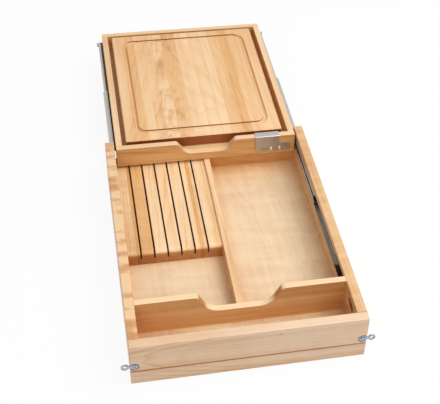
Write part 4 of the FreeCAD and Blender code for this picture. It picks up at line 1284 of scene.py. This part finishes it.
def seen_white(tree, shown, hidden):
    """Mixes a surface that the camera and reflections see with the one that lights the object."""
    path = put(tree, "LightPath").outputs
    seen = sums(tree, "MAXIMUM", path["Is Camera Ray"], sums(
        tree, "MAXIMUM", path["Is Glossy Ray"], path["Is Transmission Ray"]))
    return put(tree, "MixShader", {0: seen, 1: hidden, 2: shown}).outputs[0]


def area_lamp(name, place, target, size, power):
    """A square lamp that looks at a point."""
    light = bpy.data.lights.new(name, "AREA")
    light.shape = "SQUARE"
    light.size = size
    light.energy = power
    lamp = bpy.data.objects.new(name, light)
    lamp.location = place
    lamp.rotation_euler = (Vector(target) - Vector(place)).to_track_quat("-Z", "Y").to_euler()
    bpy.context.scene.collection.objects.link(lamp)
    return lamp


def lay_floor(scene, reach):
    """The pale floor, which is matt to light and near white to the camera."""
    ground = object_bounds()[0][2]
    mesh = bpy.data.meshes.new("studio_floor")
    corners = [(x * reach, y * reach, ground) for x, y in ((-1, -1), (1, -1), (1, 1), (-1, 1))]
    mesh.from_pydata(corners, [], [(0, 1, 2, 3)])
    floor = bpy.data.objects.new("studio_floor", mesh)
    scene.collection.objects.link(floor)
    floor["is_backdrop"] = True
    finish = bpy.data.materials.new("studio_floor_white")
    tree = bare_tree(finish)
    matt = put(tree, "BsdfDiffuse", {"Color": FLOOR_GREY}).outputs[0]
    glow = put(tree, "Emission", {"Color": WHITE, "Strength": 1.0}).outputs[0]
    veiled = put(tree, "MixShader", {0: FLOOR_WHITE_SHARE, 1: matt, 2: glow}).outputs[0]
    put(tree, "OutputMaterial", {0: seen_white(tree, veiled, matt)})
    mesh.materials.append(finish)


def light_room(scene, level):
    """Soft light from all round, which the camera sees as white."""
    world = bpy.data.worlds.new("studio_room")
    tree = bare_tree(world)
    room = put(tree, "Background", {"Color": WHITE, "Strength": level}).outputs[0]
    white = put(tree, "Background", {"Color": WHITE, "Strength": 1.0}).outputs[0]
    put(tree, "OutputWorld", {0: seen_white(tree, white, room)})
    scene.world = world


def set_camera(scene, lens):
    """The camera of the photograph."""
    camera = bpy.data.cameras.new("photo_camera")
    camera.sensor_fit = "HORIZONTAL"
    camera.sensor_width = SENSOR_WIDTH
    camera.lens = lens
    camera.shift_x, camera.shift_y = CAMERA_SHIFT
    camera.clip_start = 0.05
    camera.clip_end = 60.0
    holder = bpy.data.objects.new("photo_camera", camera)
    holder.location = CAMERA_PLACE
    holder.rotation_euler = [math.radians(angle) for angle in CAMERA_TURN]
    scene.collection.objects.link(holder)
    scene.camera = holder


class KNIFEDRAWER_OT_stage(DrawerStep, bpy.types.Operator):
    """Lays the floor, lights the drawer and sets the camera"""

    bl_idname = "knife_drawer.stage"
    bl_label = "Floor, light and camera"

    def execute(self, context):
        scene = context.scene
        settings = scene.knife_drawer.stage
        scene.view_settings.view_transform = "Standard"
        lay_floor(scene, settings.floor_reach)
        light_room(scene, settings.room_level)
        area_lamp("key_lamp", *KEY_LAMP, settings.key_power)
        area_lamp("fill_lamp", *FILL_LAMP, settings.fill_power)
        set_camera(scene, settings.lens)
        return {"FINISHED"}


# Panel and registration


OPERATORS = (
    KNIFEDRAWER_OT_boards, KNIFEDRAWER_OT_floors, KNIFEDRAWER_OT_board, KNIFEDRAWER_OT_block,
    KNIFEDRAWER_OT_slides, KNIFEDRAWER_OT_rolled_edges, KNIFEDRAWER_OT_balls,
    KNIFEDRAWER_OT_slide_screws, KNIFEDRAWER_OT_keeper, KNIFEDRAWER_OT_clips,
    KNIFEDRAWER_OT_stage,
)


class KNIFEDRAWER_PT_sidebar(bpy.types.Panel):
    """Lists the pieces and the stage of the drawer"""

    bl_idname = "KNIFEDRAWER_PT_sidebar"
    bl_label = "Knife Drawer"
    bl_space_type = "VIEW_3D"
    bl_region_type = "UI"
    bl_category = "Knife Drawer"

    def draw(self, context):
        settings = context.scene.knife_drawer
        for title, group in (
            ("Wood", settings.wood), ("Slides", settings.slide),
            ("Metal", settings.metal), ("Stage", settings.stage),
        ):
            box = self.layout.box()
            box.label(text=title)
            for name in group.__annotations__:
                box.prop(group, name)
        column = self.layout.column(align=True)
        for operator in OPERATORS:
            column.operator(operator.bl_idname)


CLASSES = (
    WoodSettings, SlideSettings, MetalSettings, StageSettings, DrawerSettings,
) + OPERATORS + (KNIFEDRAWER_PT_sidebar,)


def register():
    """Registers the classes and the scene's settings."""
    for item in CLASSES:
        bpy.utils.register_class(item)
    bpy.types.Scene.knife_drawer = PointerProperty(type=DrawerSettings)


def unregister():
    """Takes the settings and the classes away again."""
    del bpy.types.Scene.knife_drawer
    for item in reversed(CLASSES):
        bpy.utils.unregister_class(item)


def main():
    """Makes the whole drawer."""
    register()
    for operator in OPERATORS:
        call = getattr(bpy.ops.knife_drawer, operator.bl_idname.split(".")[1])
        if call() != {"FINISHED"}:
            raise RuntimeError(operator.bl_label + " wasn't finished")


if __name__ == "__main__":
    main()
